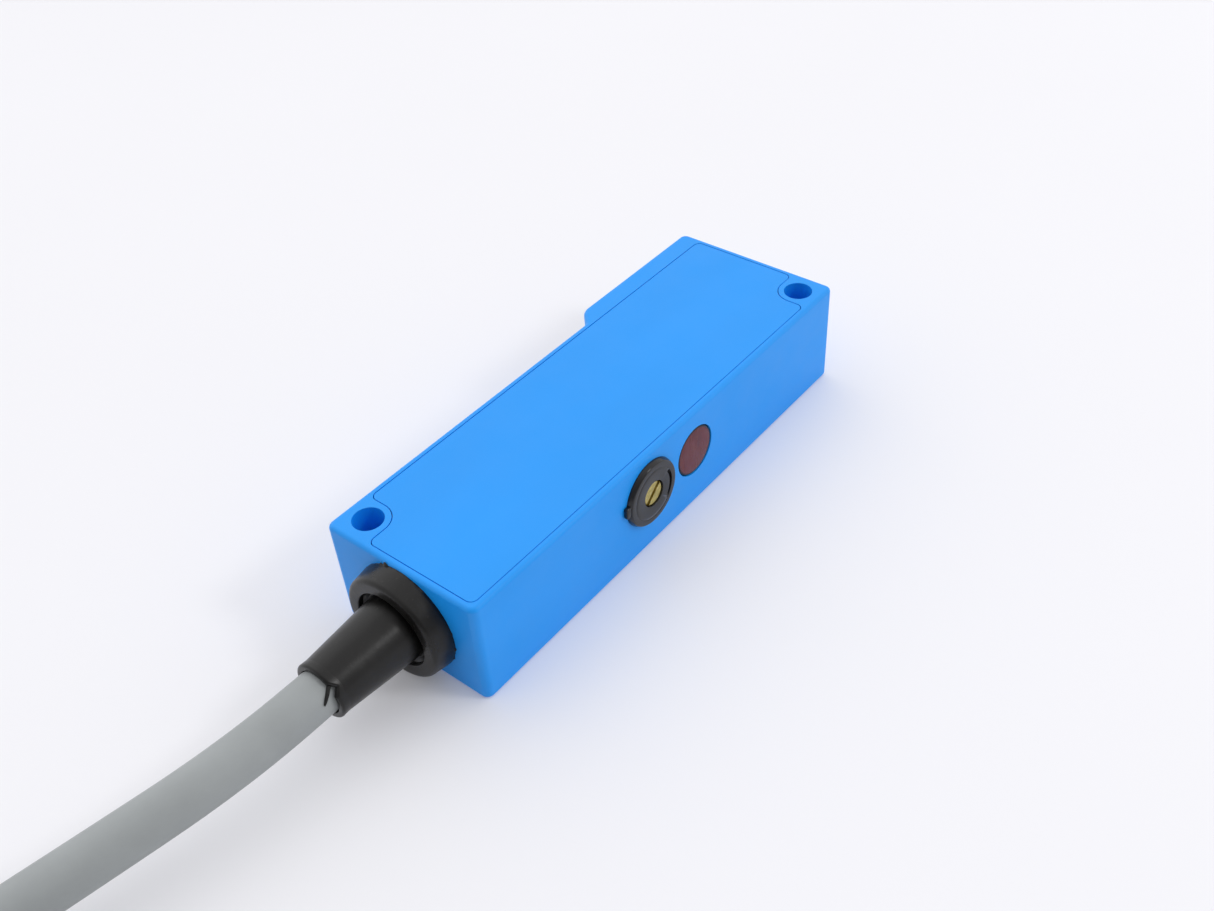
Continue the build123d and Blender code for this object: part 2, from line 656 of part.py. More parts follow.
with BuildPart() as cable_boot:
    with BuildSketch(Plane.XY.offset(GLAND_Z)):
        with BuildLine():
            Polyline(
                (TIP_X, GLAND_Y + BORE_R),
                (TIP_X, GLAND_Y + NECK_TIP_R - TIP_ROUND),
                (TIP_X + TIP_ROUND, GLAND_Y + NECK_TIP_R),
                (FLANGE_FRONT_X + DISH_DEPTH, GLAND_Y + NECK_R),
                (FLANGE_FRONT_X + DISH_DEPTH, GLAND_Y + DISH_R - DISH_DEPTH),
                (FLANGE_FRONT_X, GLAND_Y + DISH_R),
                (FLANGE_FRONT_X, GLAND_Y + FLANGE_R - 2 * EDGE_R),
                (FLANGE_FRONT_X + EDGE_R, GLAND_Y + FLANGE_R - EDGE_R / 2),
                (-HALF_L, GLAND_Y + FLANGE_R),
                (-HALF_L, GLAND_Y + GROOVE_R),
                (INNER_X, GLAND_Y + GROOVE_R),
                (INNER_X, GLAND_Y + BEAD_R),
                (INNER_X + BEAD_THICK, GLAND_Y + BEAD_R - EDGE_R),
                (INNER_X + BEAD_THICK, GLAND_Y + BORE_R),
                close=True,
            )
        make_face()
    revolve(axis=Axis((0, GLAND_Y, GLAND_Z), (1, 0, 0)))
save(cable_boot, "cable_boot")

SLEEVE_LENGTH = 2.6
SLEEVE_WALL = 0.5

with BuildPart() as crimp_sleeve:
    with BuildSketch(Plane(origin=(CABLE_ROUTE[0][0] - SLEEVE_LENGTH, GLAND_Y, GLAND_Z), z_dir=(1, 0, 0))):
        Circle(BORE_R + SLEEVE_WALL)
        Circle(BORE_R, mode=Mode.SUBTRACT)
    extrude(amount=SLEEVE_LENGTH)
save(crimp_sleeve, "crimp_sleeve")

# ---- Cable ---------------------------------------------------------------------------------------

for route_name, route in (("cable_run", CABLE_ROUTE), ("cable_tail", TAIL_ROUTE)):
    radii = arc_radii(route)
    cable, long = round_wire(route, radii, CABLE_D)
    save(cable, route_name)
    print(route_name, "length", round(long, 1), "radii", [round(r) for r in radii])
    print("  volume over section times length", round(cable.part.volume / (pi * CABLE_R**2 * long), 4))


HANK_HOLLOW_R = HANK_INNER_R - CABLE_R
HANK_EDGE_ROUND = 2.0

with BuildPart() as cable_hank:
    with BuildSketch(Plane(origin=(HANK_X, HANK_Y, HANK_BOTTOM))):
        SlotCenterToCenter(HANK_STRAIGHT, 2 * HANK_EDGE_R)
        SlotCenterToCenter(HANK_STRAIGHT, 2 * HANK_HOLLOW_R, mode=Mode.SUBTRACT)
    extrude(amount=HANK_LAYERS * CABLE_D)
    fillet(cable_hank.edges().group_by(Axis.Z)[0] + cable_hank.edges().group_by(Axis.Z)[-1], HANK_EDGE_ROUND)
save(cable_hank, "cable_hank")

TIE_INNER_Y = HANK_COLUMNS * CABLE_D
TIE_SHIFT = 15.0
LEG_MID_R = (HANK_INNER_R + HANK_OUTER_R) / 2

with BuildPart() as hank_ties:
    for side, along in ((-1, TIE_SHIFT), (1, -TIE_SHIFT)):
        leg = (HANK_X + along - TIE_W / 2, HANK_Y + side * LEG_MID_R, (HANK_BOTTOM + HANK_TOP) / 2)
        with BuildSketch(Plane(origin=leg, z_dir=(1, 0, 0), x_dir=(0, 1, 0))):
            Rectangle(TIE_INNER_Y + 2 * TIE_THICK, HANK_LAYERS * CABLE_D + 2 * TIE_THICK)
            Rectangle(TIE_INNER_Y, HANK_LAYERS * CABLE_D, mode=Mode.SUBTRACT)
        extrude(amount=TIE_W)
save(hank_ties, "hank_ties")

# ---- Cores of the cable, inside the housing and at the far end -----------------------------------

CORE_RING = 0.82
CORE_COLOURS = ["brown", "white", "blue", "black"]
CORE_SIDES = [1, -1, -1, 1]
CORE_LEVELS = [1, 1, -1, -1]
CORE_SPREADS = [1.3, -1.3, -3.9, 3.9]
CORE_POSTS = [3, 1, 0, 2]
CORE_R = CORE_D / 2
INNER_BEND = 1.2
INNER_LEAD_IN = 1.6
INNER_LEAD_OUT = 2.0
FAR_BEND = 6.0
FAR_LEAD = 4.0
FAR_KNEE = 13.0
FAR_REACH = 22.0
FAR_SPLAY = 1.5
TIP_LENGTH = 5.0

SHEATH_END = Vector(CABLE_ROUTE[0])
TAIL_END = Vector(TAIL_ROUTE[-1])
TAIL_HEADING = (TAIL_END - Vector(TAIL_ROUTE[-2])).normalized()
TAIL_SIDE = Vector(-TAIL_HEADING.Y, TAIL_HEADING.X, 0)
TAIL_DROP = Vector(0, 0, CORE_R - CABLE_R)

tips = []
for colour, side, level, spread, post in zip(CORE_COLOURS, CORE_SIDES, CORE_LEVELS, CORE_SPREADS, CORE_POSTS):
    # inside the housing: from the sheath's end to the top of a solder post
    start = SHEATH_END + Vector(0, side * CORE_RING, level * CORE_RING)
    landing = Vector(*POST_PLACES[post], BOARD_TOP + POST_H + CORE_R)
    lead_in = start + Vector(INNER_LEAD_IN, 0, 0)
    lead_out = landing - Vector(INNER_LEAD_OUT, 0, 0)
    inner_route = [start, lead_in, lead_out, landing]
    inner_core, _ = round_wire(inner_route, INNER_BEND, CORE_D)
    save(inner_core, f"inner_core_{colour}")
    # at the far end: out of the tail, down to the table, and apart
    start = TAIL_END + TAIL_SIDE * side * CORE_RING + Vector(0, 0, level * CORE_RING)
    far_route = [
        start,
        start + TAIL_HEADING * FAR_LEAD,
        TAIL_END + TAIL_HEADING * FAR_KNEE + TAIL_SIDE * spread + TAIL_DROP,
        TAIL_END + TAIL_HEADING * FAR_REACH + TAIL_SIDE * spread * FAR_SPLAY + TAIL_DROP,
    ]
    far_core, _ = round_wire(far_route, FAR_BEND, CORE_D)
    save(far_core, f"far_core_{colour}")
    tips.append((far_route[-1], (far_route[-1] - far_route[-2]).normalized()))

with BuildPart() as core_tips:
    for place, heading in tips:
        with BuildSketch(Plane(origin=place, z_dir=heading)):
            Circle(STRAND_D / 2)
        extrude(amount=TIP_LENGTH)
save(core_tips, "core_tips")
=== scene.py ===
"""Slim photoelectric proximity sensor: its visible pieces, finishes and stage, built around the CAD frame.

Lengths are in metres, in the frame's own axes: +X runs from the cable end to the sensing head, +Y points
the way the sensor looks, and +Z goes up through the cover. Places that the frame knows are read from it.
"""

import json
import math
import random

import bmesh
import bpy
from mathutils import Matrix, Vector


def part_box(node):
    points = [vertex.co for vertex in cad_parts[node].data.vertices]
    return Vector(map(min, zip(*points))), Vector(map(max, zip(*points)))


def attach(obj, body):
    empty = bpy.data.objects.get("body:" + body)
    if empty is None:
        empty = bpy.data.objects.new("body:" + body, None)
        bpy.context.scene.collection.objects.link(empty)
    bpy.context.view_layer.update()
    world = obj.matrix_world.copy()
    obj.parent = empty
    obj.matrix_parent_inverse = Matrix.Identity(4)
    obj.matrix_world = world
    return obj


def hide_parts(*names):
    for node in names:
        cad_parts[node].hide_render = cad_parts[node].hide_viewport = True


bl_info = {
    "name": "Slim proximity sensor",
    "version": (1, 0, 0),
    "blender": (4, 5, 0),
    "location": "View3D > Sidebar > Sensor",
    "description": "Builds a slim photoelectric sensor with its cable, finishes and stage around a CAD frame",
    "category": "Object",
}

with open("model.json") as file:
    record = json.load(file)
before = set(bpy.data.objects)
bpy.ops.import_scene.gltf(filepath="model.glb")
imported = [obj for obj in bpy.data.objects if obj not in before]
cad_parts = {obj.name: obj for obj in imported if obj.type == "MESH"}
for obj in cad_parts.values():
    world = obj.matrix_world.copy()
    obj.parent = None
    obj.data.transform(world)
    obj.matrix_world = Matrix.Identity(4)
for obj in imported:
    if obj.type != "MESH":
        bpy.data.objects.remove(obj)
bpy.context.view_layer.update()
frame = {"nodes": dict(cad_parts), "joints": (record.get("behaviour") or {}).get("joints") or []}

MM = 0.001
SENSOR = "sensor"

HOUSING_LOW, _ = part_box("housing")
BOOT_LOW, BOOT_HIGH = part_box("cable_boot")
LAMP_LOW, LAMP_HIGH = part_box("indicator_window")
TIES_LOW, TIES_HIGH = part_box("hank_ties")
HANK_LOW, HANK_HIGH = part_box("cable_hank")

# The housing's wall, and the axes of the round pieces in it
HOUSING_WALL = 1.55 * MM
END_X = HOUSING_LOW.x
SIDE_Y = HOUSING_LOW.y
GLAND_Y = (BOOT_LOW.y + BOOT_HIGH.y) / 2
GLAND_Z = (BOOT_LOW.z + BOOT_HIGH.z) / 2
FLANGE_R = (BOOT_HIGH.z - BOOT_LOW.z) / 2
BOOT_REACH = END_X - BOOT_LOW.x
ADJUSTER_AXIS = Vector(frame["joints"][0]["pos_m"])
LAMP_X = (LAMP_LOW.x + LAMP_HIGH.x) / 2
LAMP_Z = (LAMP_LOW.z + LAMP_HIGH.z) / 2

# Cable and hank
CABLE_D = 5.0 * MM
CABLE_R = CABLE_D / 2
HANK_LAYERS = 4
HANK_COLUMNS = 2
HANK_Y = (HANK_LOW.y + HANK_HIGH.y) / 2
HANK_X = (HANK_LOW.x + HANK_HIGH.x) / 2
HANK_OUTER_R = (HANK_HIGH.y - HANK_LOW.y) / 2 - CABLE_R
HANK_INNER_R = HANK_OUTER_R - CABLE_D
HANK_HALF_STRAIGHT = (HANK_HIGH.x - HANK_LOW.x) / 2 - CABLE_R - HANK_OUTER_R
HANK_LEG_Y = HANK_Y + HANK_OUTER_R
FIRST_TURN_Z = HANK_LOW.z + CABLE_R

# The free cable, from its end inside the housing to the hank
CABLE_ROUTE = [
    Vector((-0.0270, GLAND_Y, GLAND_Z)),
    Vector((-0.0410, GLAND_Y, GLAND_Z)),
    Vector((-0.0555, -0.0001, 0.0066)),
    Vector((-0.0705, 0.0032, 0.0058)),
    Vector((-0.0860, 0.0071, 0.0046)),
    Vector((-0.0995, 0.0092, 0.0037)),
    Vector((-0.1105, HANK_LEG_Y, FIRST_TURN_Z)),
]

# The last stretch, out of the hank's innermost turn into its open middle
TAIL_ROUTE = [
    Vector((HANK_X - 0.0300, HANK_Y - HANK_INNER_R, FIRST_TURN_Z)),
    Vector((HANK_X - 0.0155, HANK_Y - 0.0141, 0.0030)),
    Vector((HANK_X - 0.0015, HANK_Y - 0.0096, CABLE_R)),
    Vector((HANK_X + 0.0100, HANK_Y - 0.0050, CABLE_R)),
]

# The cores, and what is bared of them at the free end
CORE_COLOURS = ("brown", "white", "blue", "black")
CORE_TONES = ((0.14, 0.055, 0.025), (0.78, 0.78, 0.75), (0.02, 0.14, 0.55), (0.015, 0.015, 0.016))
CORE_R = 0.6 * MM
# How far each core stands aside, where it straightens, and where and how much further aside it is bared
CORE_SPREADS = (1.3 * MM, -1.3 * MM, -3.9 * MM, 3.9 * MM)
CORE_BEND_AT = 13 * MM
CORE_END_AT = 22 * MM
CORE_SPLAY = 1.5
BARE_LENGTH = 5.0 * MM
# The strands lie on a circle of so many strand radii, and the bundle is a little wider than that
STRAND_BUNDLE_R = 0.35 * MM
LAY_RATIO = 2.05
BUNDLE_RATIO = 3.1
STRAND_TURNS = 0.8

# The hank's ties: a strap that takes this share of their thickness, with its ribs and its head
TIE_WIDTH = 3.6 * MM
TIE_THICK = HANK_LOW.z - TIES_LOW.z
STRAP_SHARE = 0.62
STRAP_EDGE_R = 0.18 * MM
RIB_HEIGHT = 0.15 * MM
RIB_WIDTH_SHARE = 0.62
RIB_PITCH_SHARE = 0.45
TIE_HEAD = (2.6 * MM, 4.4 * MM, 5.0 * MM)
TIE_HEAD_EDGE = 0.35 * MM
TIE_HEAD_SUNK = 0.2 * MM


# ---- Settings ----------------------------------------------------------------


def colour_setting(name, description, default):
    """A colour that a user may change."""
    return bpy.props.FloatVectorProperty(
        name=name, description=description, subtype="COLOR", size=3, min=0, max=1, default=default
    )


def number_setting(name, description, default, **options):
    """A number that a user may change."""
    return bpy.props.FloatProperty(name=name, description=description, default=default, **options)


def length_setting(name, description, default):
    """A length that a user may change."""
    return number_setting(name, description, default, subtype="DISTANCE", unit="LENGTH", min=0, precision=5)


def power_setting(name, description, default):
    """A lamp's power that a user may change."""
    return number_setting(name, description, default, subtype="POWER", unit="POWER", min=0)


def angle_setting(name, description, degrees):
    """An angle that a user may change."""
    return number_setting(name, description, math.radians(degrees), subtype="ANGLE")


class CasingSettings(bpy.types.PropertyGroup):
    """Finish of the moulded casing"""

    blue: colour_setting("Casing blue", "Colour of the housing and the cover", (0.006, 0.325, 0.95))
    grain_depth: length_setting("Grain depth", "Depth of the mould's fine texture", 6e-6)
    filter_red: colour_setting("Window filter", "Colour of the sensing window", (0.075, 0.004, 0.008))


class FittingSettings(bpy.types.PropertyGroup):
    """Sizes and colours of the boot, the adjuster and the indicator"""

    rubber: colour_setting("Boot rubber", "Colour of the cable boot", (0.0060, 0.0056, 0.0052))
    dish_radius: length_setting("Dish radius", "Radius of the hollow in the boot's flange", 4.52 * MM)
    neck_radius: length_setting("Neck radius", "Radius of the neck where it leaves the flange", 3.88 * MM)
    tip_radius: length_setting("Tip radius", "Radius of the neck at its tip", 3.22 * MM)
    bezel_black: colour_setting("Bezel black", "Colour of the adjuster's bezel", (0.011, 0.011, 0.012))
    bezel_radius: length_setting("Bezel radius", "Outside radius of the adjuster's bezel", 4.2 * MM)
    lamp_red: colour_setting("Indicator red", "Colour of the indicator's lens", (0.130, 0.026, 0.034))
    lamp_radius: length_setting("Indicator radius", "Radius of the indicator's lens", 3.15 * MM)


class CableSettings(bpy.types.PropertyGroup):
    """Colours of the cable and its ties, and how the ties and the bared ends are made"""

    sheath: colour_setting("Sheath grey", "Colour of the cable's sheath", (0.335, 0.355, 0.358))
    tie: colour_setting("Tie black", "Colour of the cable ties", (0.016, 0.016, 0.017))
    strands: bpy.props.IntProperty(
        name="Strands", description="Copper strands round the middle one", min=3, max=12, default=6
    )
    rib_pitch: length_setting("Rib pitch", "Distance from one rib of a tie to the next", 0.9 * MM)


class StageSettings(bpy.types.PropertyGroup):
    """Floor, light and camera"""

    floor: colour_setting("Floor", "Colour of the floor", (0.80, 0.797, 0.822))
    floor_glow: number_setting("Floor glow", "Light that comes up through the table top", 0.14, min=0)
    sky_strength: number_setting("Sky strength", "Brightness of the even light all round", 1.09, min=0)
    dark_side_share: number_setting("Dark side", "Share of the light left on the dark side", 0.30, min=0)
    key_power: power_setting("Key power", "Power of the large soft light", 3.0)
    window_power: power_setting("Window power", "Power of the small window", 2.2)
    focal_length: number_setting(
        "Focal length", "Camera's focal length in millimetres", 37.487, subtype="DISTANCE_CAMERA", min=1
    )
    azimuth: angle_setting("Azimuth", "Camera's turn about the vertical", -48.909)
    elevation: angle_setting("Elevation", "Camera's height above the horizon", 41.364)
    roll: angle_setting("Roll", "Camera's turn about its own axis", -4.207)
    distance: length_setting("Distance", "From the camera to the point it looks at", 0.156078)


# ---- Nodes for materials and geometry ----------------------------------------


def node(tree, kind, inputs=None, **options):
    """Add a node, set its options, and set or link its inputs."""
    made = tree.nodes.new(kind)
    for name, value in options.items():
        setattr(made, name, value)
    for name, value in (inputs or {}).items():
        if isinstance(value, bpy.types.NodeSocket):
            tree.links.new(value, made.inputs[name])
        else:
            made.inputs[name].default_value = value
    return made


def start_material(name, **sockets):
    """A new material with one Principled shader, whose even qualities are set on its own sockets."""
    material = bpy.data.materials.new(name)
    material.use_nodes = True
    tree = material.node_tree
    tree.nodes.clear()
    shader = node(tree, "ShaderNodeBsdfPrincipled")
    for socket, value in sockets.items():
        shader.inputs[socket.replace("_", " ")].default_value = value
    node(tree, "ShaderNodeOutputMaterial", {"Surface": shader.outputs["BSDF"]})
    return material, tree, shader


def object_point(tree, centre=(0, 0, 0), scale=(1, 1, 1)):
    """Object coordinates measured from a centre and stretched by a scale."""
    place = node(tree, "ShaderNodeTexCoord").outputs["Object"]
    shift = node(tree, "ShaderNodeVectorMath", {0: place, 1: centre}, operation="SUBTRACT").outputs[0]
    return node(tree, "ShaderNodeVectorMath", {0: shift, 1: scale}, operation="MULTIPLY").outputs[0]


def noise(tree, point, scale, detail=3.0, roughness=0.5):
    """Soft noise from 0 to 1, with features about 1 / scale metres across."""
    settings = {"Vector": point, "Scale": scale, "Detail": detail, "Roughness": roughness}
    return node(tree, "ShaderNodeTexNoise", settings).outputs["Fac"]


def ramp(tree, factor, *stops):
    """Colours at places along a factor, blended in between."""
    made = node(tree, "ShaderNodeValToRGB", {"Fac": factor})
    elements = made.color_ramp.elements
    elements.remove(elements[-1])
    elements[0].position = stops[0][0]
    elements[0].color = (*stops[0][1], 1)
    for place, colour in stops[1:]:
        elements.new(place).color = (*colour, 1)
    return made.outputs["Color"]


def ranged(tree, value, low, high, start=0.0, end=1.0):
    """A value between start and end carried over to low and high."""
    settings = {"Value": value, "From Min": start, "From Max": end, "To Min": low, "To Max": high}
    return node(tree, "ShaderNodeMapRange", settings).outputs["Result"]


def blended(tree, share, under, over):
    """A colour laid over another one, by a share from 0 to 1."""
    return node(tree, "ShaderNodeMix", {0: share, 6: under, 7: (*over, 1)}, data_type="RGBA").outputs[2]


def paint(tree, shader, colour, roughness):
    """Give a shader its uneven colour and roughness."""
    tree.links.new(colour, shader.inputs["Base Color"])
    tree.links.new(roughness, shader.inputs["Roughness"])


def add_bump(tree, shader, *layers):
    """Raise the surface by several heights, each with its own depth in metres."""
    normal = None
    for height, depth in layers:
        made = node(tree, "ShaderNodeBump", {"Height": height, "Distance": depth})
        if normal:
            tree.links.new(normal, made.inputs["Normal"])
        normal = made.outputs["Normal"]
    tree.links.new(normal, shader.inputs["Normal"])


def start_geometry(name, **inputs):
    """A new geometry tree whose named inputs are given as (socket kind, value)."""
    tree = bpy.data.node_groups.new(name, "GeometryNodeTree")
    tree.interface.new_socket("Geometry", in_out="INPUT", socket_type="NodeSocketGeometry")
    tree.interface.new_socket("Geometry", in_out="OUTPUT", socket_type="NodeSocketGeometry")
    for label, (kind, value) in inputs.items():
        socket = tree.interface.new_socket(label, in_out="INPUT", socket_type="NodeSocket" + kind)
        socket.default_value = value
    return tree, tree.nodes.new("NodeGroupInput").outputs


def product(tree, first, second):
    """Two numbers multiplied."""
    return node(tree, "ShaderNodeMath", {0: first, 1: second}, operation="MULTIPLY").outputs[0]


def swept(tree, path, section):
    """A solid that carries a section along a path, closed at its ends."""
    inputs = {"Curve": path, "Profile Curve": section, "Fill Caps": True}
    return node(tree, "GeometryNodeCurveToMesh", inputs).outputs[0]


def copied(tree, spots, shape, turn):
    """A shape copied to each spot and turned there."""
    inputs = {"Points": spots, "Instance": shape, "Rotation": turn}
    return node(tree, "GeometryNodeInstanceOnPoints", inputs).outputs[0]


def end_geometry(tree, material, *parts):
    """Join the parts of a geometry tree, make them real, and give them a material."""
    joined = tree.nodes.new("GeometryNodeJoinGeometry")
    for part in parts:
        tree.links.new(part, joined.inputs[0])
    real = node(tree, "GeometryNodeRealizeInstances", {0: joined.outputs[0]}).outputs[0]
    painted = node(tree, "GeometryNodeSetMaterial", {"Geometry": real, "Material": material}).outputs[0]
    node(tree, "NodeGroupOutput", {"Geometry": painted})


def toned(colour, factor):
    """A colour made lighter or darker."""
    return tuple(min(1.0, channel * factor) for channel in colour)


# ---- Materials ---------------------------------------------------------------


def moulded_casing(name, colour, grain_depth):
    """Satin moulded plastic: a fine spark-eroded texture, slow flow marks and a little handling shine."""
    material, tree, shader = start_material(name, IOR=1.47, Specular_IOR_Level=0.42)
    point = object_point(tree)
    flow = noise(tree, object_point(tree, scale=(0.4, 1, 1)), 90, 2)
    tone = ramp(tree, flow, (0.3, toned(colour, 0.965)), (0.7, toned(colour, 1.02)))
    shine = noise(tree, point, 160, 4, 0.6)
    paint(tree, shader, tone, ranged(tree, shine, 0.40, 0.52, 0.3, 0.7))
    fine = noise(tree, point, 5200, 2, 0.6)
    add_bump(tree, shader, (fine, grain_depth), (flow, grain_depth * 3))
    return material


def boot_rubber(name, colour):
    """Satin black rubber with a faint bloom, fine grain and grey dust caught in patches."""
    material, tree, shader = start_material(name, IOR=1.5, Specular_IOR_Level=0.34)
    point = object_point(tree)
    bloom = noise(tree, point, 260, 5, 0.62)
    dust = noise(tree, point, 1500, 6, 0.7)
    tone = ramp(tree, bloom, (0.30, toned(colour, 0.75)), (0.55, colour), (0.78, toned(colour, 1.9)))
    speck = ranged(tree, dust, 0.0, 0.22, 0.62, 0.80)
    dusty = blended(tree, speck, tone, (0.16, 0.145, 0.13))
    paint(tree, shader, dusty, ranged(tree, bloom, 0.26, 0.38, 0.3, 0.7))
    add_bump(tree, shader, (dust, 7e-6), (bloom, 5e-5))
    return material


def cable_sheath(name, colour):
    """Extruded PVC: faint die lines along the cable, a matt bloom and light scuffs."""
    material, tree, shader = start_material(name, IOR=1.5, Specular_IOR_Level=0.4)
    around = node(tree, "ShaderNodeTexCoord").outputs["UV"]
    drawn = node(tree, "ShaderNodeVectorMath", {0: around, 1: (30, 26, 1)}, operation="MULTIPLY").outputs[0]
    lines = noise(tree, drawn, 2.0, 4, 0.6)
    point = object_point(tree)
    patches = noise(tree, point, 130, 4, 0.6)
    scuffs = noise(tree, point, 900, 6, 0.7)
    tone = ramp(tree, patches, (0.3, toned(colour, 0.94)), (0.7, toned(colour, 1.05)))
    worn = ranged(tree, scuffs, 0.0, 0.55, 0.68, 0.85)
    scuffed = blended(tree, worn, tone, (0.50, 0.51, 0.51))
    paint(tree, shader, scuffed, ranged(tree, scuffs, 0.50, 0.64, 0.3, 0.7))
    add_bump(tree, shader, (lines, 1.2e-5), (scuffs, 8e-6))
    return material


def glossy_plastic(name, colour, roughness=0.12):
    """Polished moulding with hairline scratches and a few rubbed patches."""
    material, tree, shader = start_material(name, IOR=1.5, Specular_IOR_Level=0.4)
    point = object_point(tree)
    hair = noise(tree, object_point(tree, scale=(1, 0.2, 4)), 1500, 4, 0.7)
    rubbed = noise(tree, point, 420, 4, 0.6)
    tone = ramp(tree, rubbed, (0.3, toned(colour, 0.8)), (0.75, toned(colour, 1.5)))
    paint(tree, shader, tone, ranged(tree, rubbed, roughness * 0.8, roughness * 1.7, 0.3, 0.75))
    add_bump(tree, shader, (hair, 4e-6))
    return material


def turned_brass(name, centre):
    """Turned brass: fine rings about its axis under a dull, uneven film."""
    material, tree, shader = start_material(name, Metallic=1.0)
    local = object_point(tree, centre)
    rings = node(
        tree,
        "ShaderNodeTexWave",
        {"Vector": local, "Scale": 1400, "Distortion": 1.5, "Detail": 2, "Detail Scale": 2},
        wave_type="RINGS",
        rings_direction="Y",
    ).outputs["Fac"]
    film = noise(tree, local, 1800, 5, 0.65)
    tone = ramp(tree, film, (0.30, (0.34, 0.27, 0.07)), (0.55, (0.56, 0.46, 0.16)), (0.8, (0.82, 0.72, 0.38)))
    paint(tree, shader, tone, ranged(tree, film, 0.30, 0.55, 0.3, 0.7))
    add_bump(tree, shader, (rings, 6e-6), (film, 1.2e-5))
    return material


def indicator_lens(name, colour, centre, radius):
    """Dark red moulded lens: cloudy inside, with brownish streaks, a few light specks of painted highlight
    and a dark ring of painted shade at its edge.
    """
    material, tree, shader = start_material(name, IOR=1.45, Specular_IOR_Level=0.22)
    cloud = noise(tree, object_point(tree, scale=(1, 1, 0.55)), 480, 5, 0.65)
    streak = noise(tree, object_point(tree, scale=(1, 1, 0.25)), 1300, 4, 0.6)
    tone = ramp(
        tree,
        cloud,
        (0.28, toned(colour, 0.62)),
        (0.48, colour),
        (0.62, (colour[0] * 1.05, colour[1] * 1.5, colour[2] * 1.35)),
        (0.80, (colour[0] * 1.5, colour[1] * 1.5, colour[2] * 1.4)),
    )
    warm = ranged(tree, streak, 0.0, 0.45, 0.55, 0.75)
    streaked = blended(tree, warm, tone, (0.20, 0.042, 0.020))
    # Painted highlight: a few light specks, scattered by noise, stand for small glints on the lens
    speck = ranged(tree, noise(tree, object_point(tree), 1700, 2, 0.5), 0.0, 0.5, 0.74, 0.80)
    glint_flecked = blended(tree, speck, streaked, (0.34, 0.24, 0.22))
    # Painted shade: a dark ring just inside the lens's rim stands for the shade that falls in the gap round
    # the lens
    across = object_point(tree, centre, (1, 0, 1))
    reach = node(tree, "ShaderNodeVectorMath", {0: across}, operation="LENGTH").outputs["Value"]
    edge = ranged(tree, reach, 0.0, 1.0, radius * 0.90, radius * 0.945)
    rim_shaded = blended(tree, edge, glint_flecked, (0.006, 0.006, 0.015))
    paint(tree, shader, rim_shaded, ranged(tree, streak, 0.16, 0.34, 0.3, 0.7))
    add_bump(tree, shader, (cloud, 6e-6))
    return material


def window_filter(name, colour):
    """Smoked red acrylic that passes infrared: nearly opaque, polished, with faint polishing swirls."""
    material, tree, shader = start_material(name, IOR=1.49, Transmission_Weight=0.55)
    swirl = noise(tree, object_point(tree), 700, 4, 0.6)
    tone = ramp(tree, swirl, (0.3, toned(colour, 0.8)), (0.7, toned(colour, 1.25)))
    paint(tree, shader, tone, ranged(tree, swirl, 0.03, 0.10, 0.3, 0.7))
    add_bump(tree, shader, (swirl, 2e-6))
    return material


def plain_finish(name, dark, light, roughness, scale=900, depth=6e-6, **sockets):
    """Two tones of one material, uneven in shine and lightly textured."""
    material, tree, shader = start_material(name, **sockets)
    point = object_point(tree)
    cloud = noise(tree, point, scale, 5, 0.6)
    tone = ramp(tree, cloud, (0.3, dark), (0.7, light))
    paint(tree, shader, tone, ranged(tree, cloud, roughness * 0.85, roughness * 1.2, 0.3, 0.7))
    grain = noise(tree, point, scale * 4, 3, 0.6)
    add_bump(tree, shader, (grain, depth), (cloud, depth))
    return material


def board_laminate(name):
    """Green circuit laminate: woven glass under solder resist, with copper tracks showing through."""
    material, tree, shader = start_material(name, IOR=1.5, Coat_Weight=0.3)
    point = object_point(tree)
    weave = node(
        tree,
        "ShaderNodeTexBrick",
        {
            "Vector": point,
            "Scale": 500,
            "Color1": (0.010, 0.110, 0.045, 1),
            "Color2": (0.014, 0.135, 0.055, 1),
            "Mortar": (0.030, 0.200, 0.080, 1),
            "Mortar Size": 0.06,
        },
    )
    patches = noise(tree, point, 300, 3)
    paint(tree, shader, weave.outputs["Color"], ranged(tree, patches, 0.22, 0.38))
    add_bump(tree, shader, (weave.outputs["Fac"], 2e-5), (patches, 8e-6))
    return material


def clear_moulding(name, dark, light, roughness):
    """Clear or tinted resin."""
    return plain_finish(name, dark, light, roughness, depth=1e-6, IOR=1.49, Transmission_Weight=0.9)


def metal(name, dark, light, roughness):
    """Bare or plated metal."""
    return plain_finish(name, dark, light, roughness, depth=4e-6, Metallic=1.0)


# ---- Meshes ------------------------------------------------------------------

SHARP = math.radians(38)
SAME_PLACE = 1e-7
FILLET_STEPS = 5


def add_object(name, data):
    """A new object in the scene."""
    made = bpy.data.objects.new(name, data)
    bpy.context.scene.collection.objects.link(made)
    return made


def mesh_object(name, shape):
    """Make a scene object from a bmesh, shaded smooth but for its sharp edges."""
    bmesh.ops.remove_doubles(shape, verts=shape.verts, dist=SAME_PLACE)
    bmesh.ops.recalc_face_normals(shape, faces=shape.faces)
    for face in shape.faces:
        face.smooth = True
    for edge in shape.edges:
        edge.smooth = edge.calc_face_angle(0) < SHARP
    mesh = bpy.data.meshes.new(name)
    shape.to_mesh(mesh)
    shape.free()
    return add_object(name, mesh)


def settle(made):
    """Turn an object's modifiers into its mesh."""
    bpy.context.view_layer.update()
    evaluated = made.evaluated_get(bpy.context.evaluated_depsgraph_get())
    mesh = bpy.data.meshes.new_from_object(evaluated)
    made.modifiers.clear()
    if made.type == "MESH":
        made.data = mesh
        return made
    name = made.name
    bpy.data.objects.remove(made)
    return add_object(name, mesh)


def grow(made, tree, **values):
    """Run a geometry tree on an object with these inputs, and keep the result as its mesh."""
    modifier = made.modifiers.new(tree.name, "NODES")
    modifier.node_group = tree
    for item in tree.interface.items_tree:
        if item.in_out == "INPUT" and item.name in values:
            modifier[item.identifier] = values[item.name]
    return settle(made)


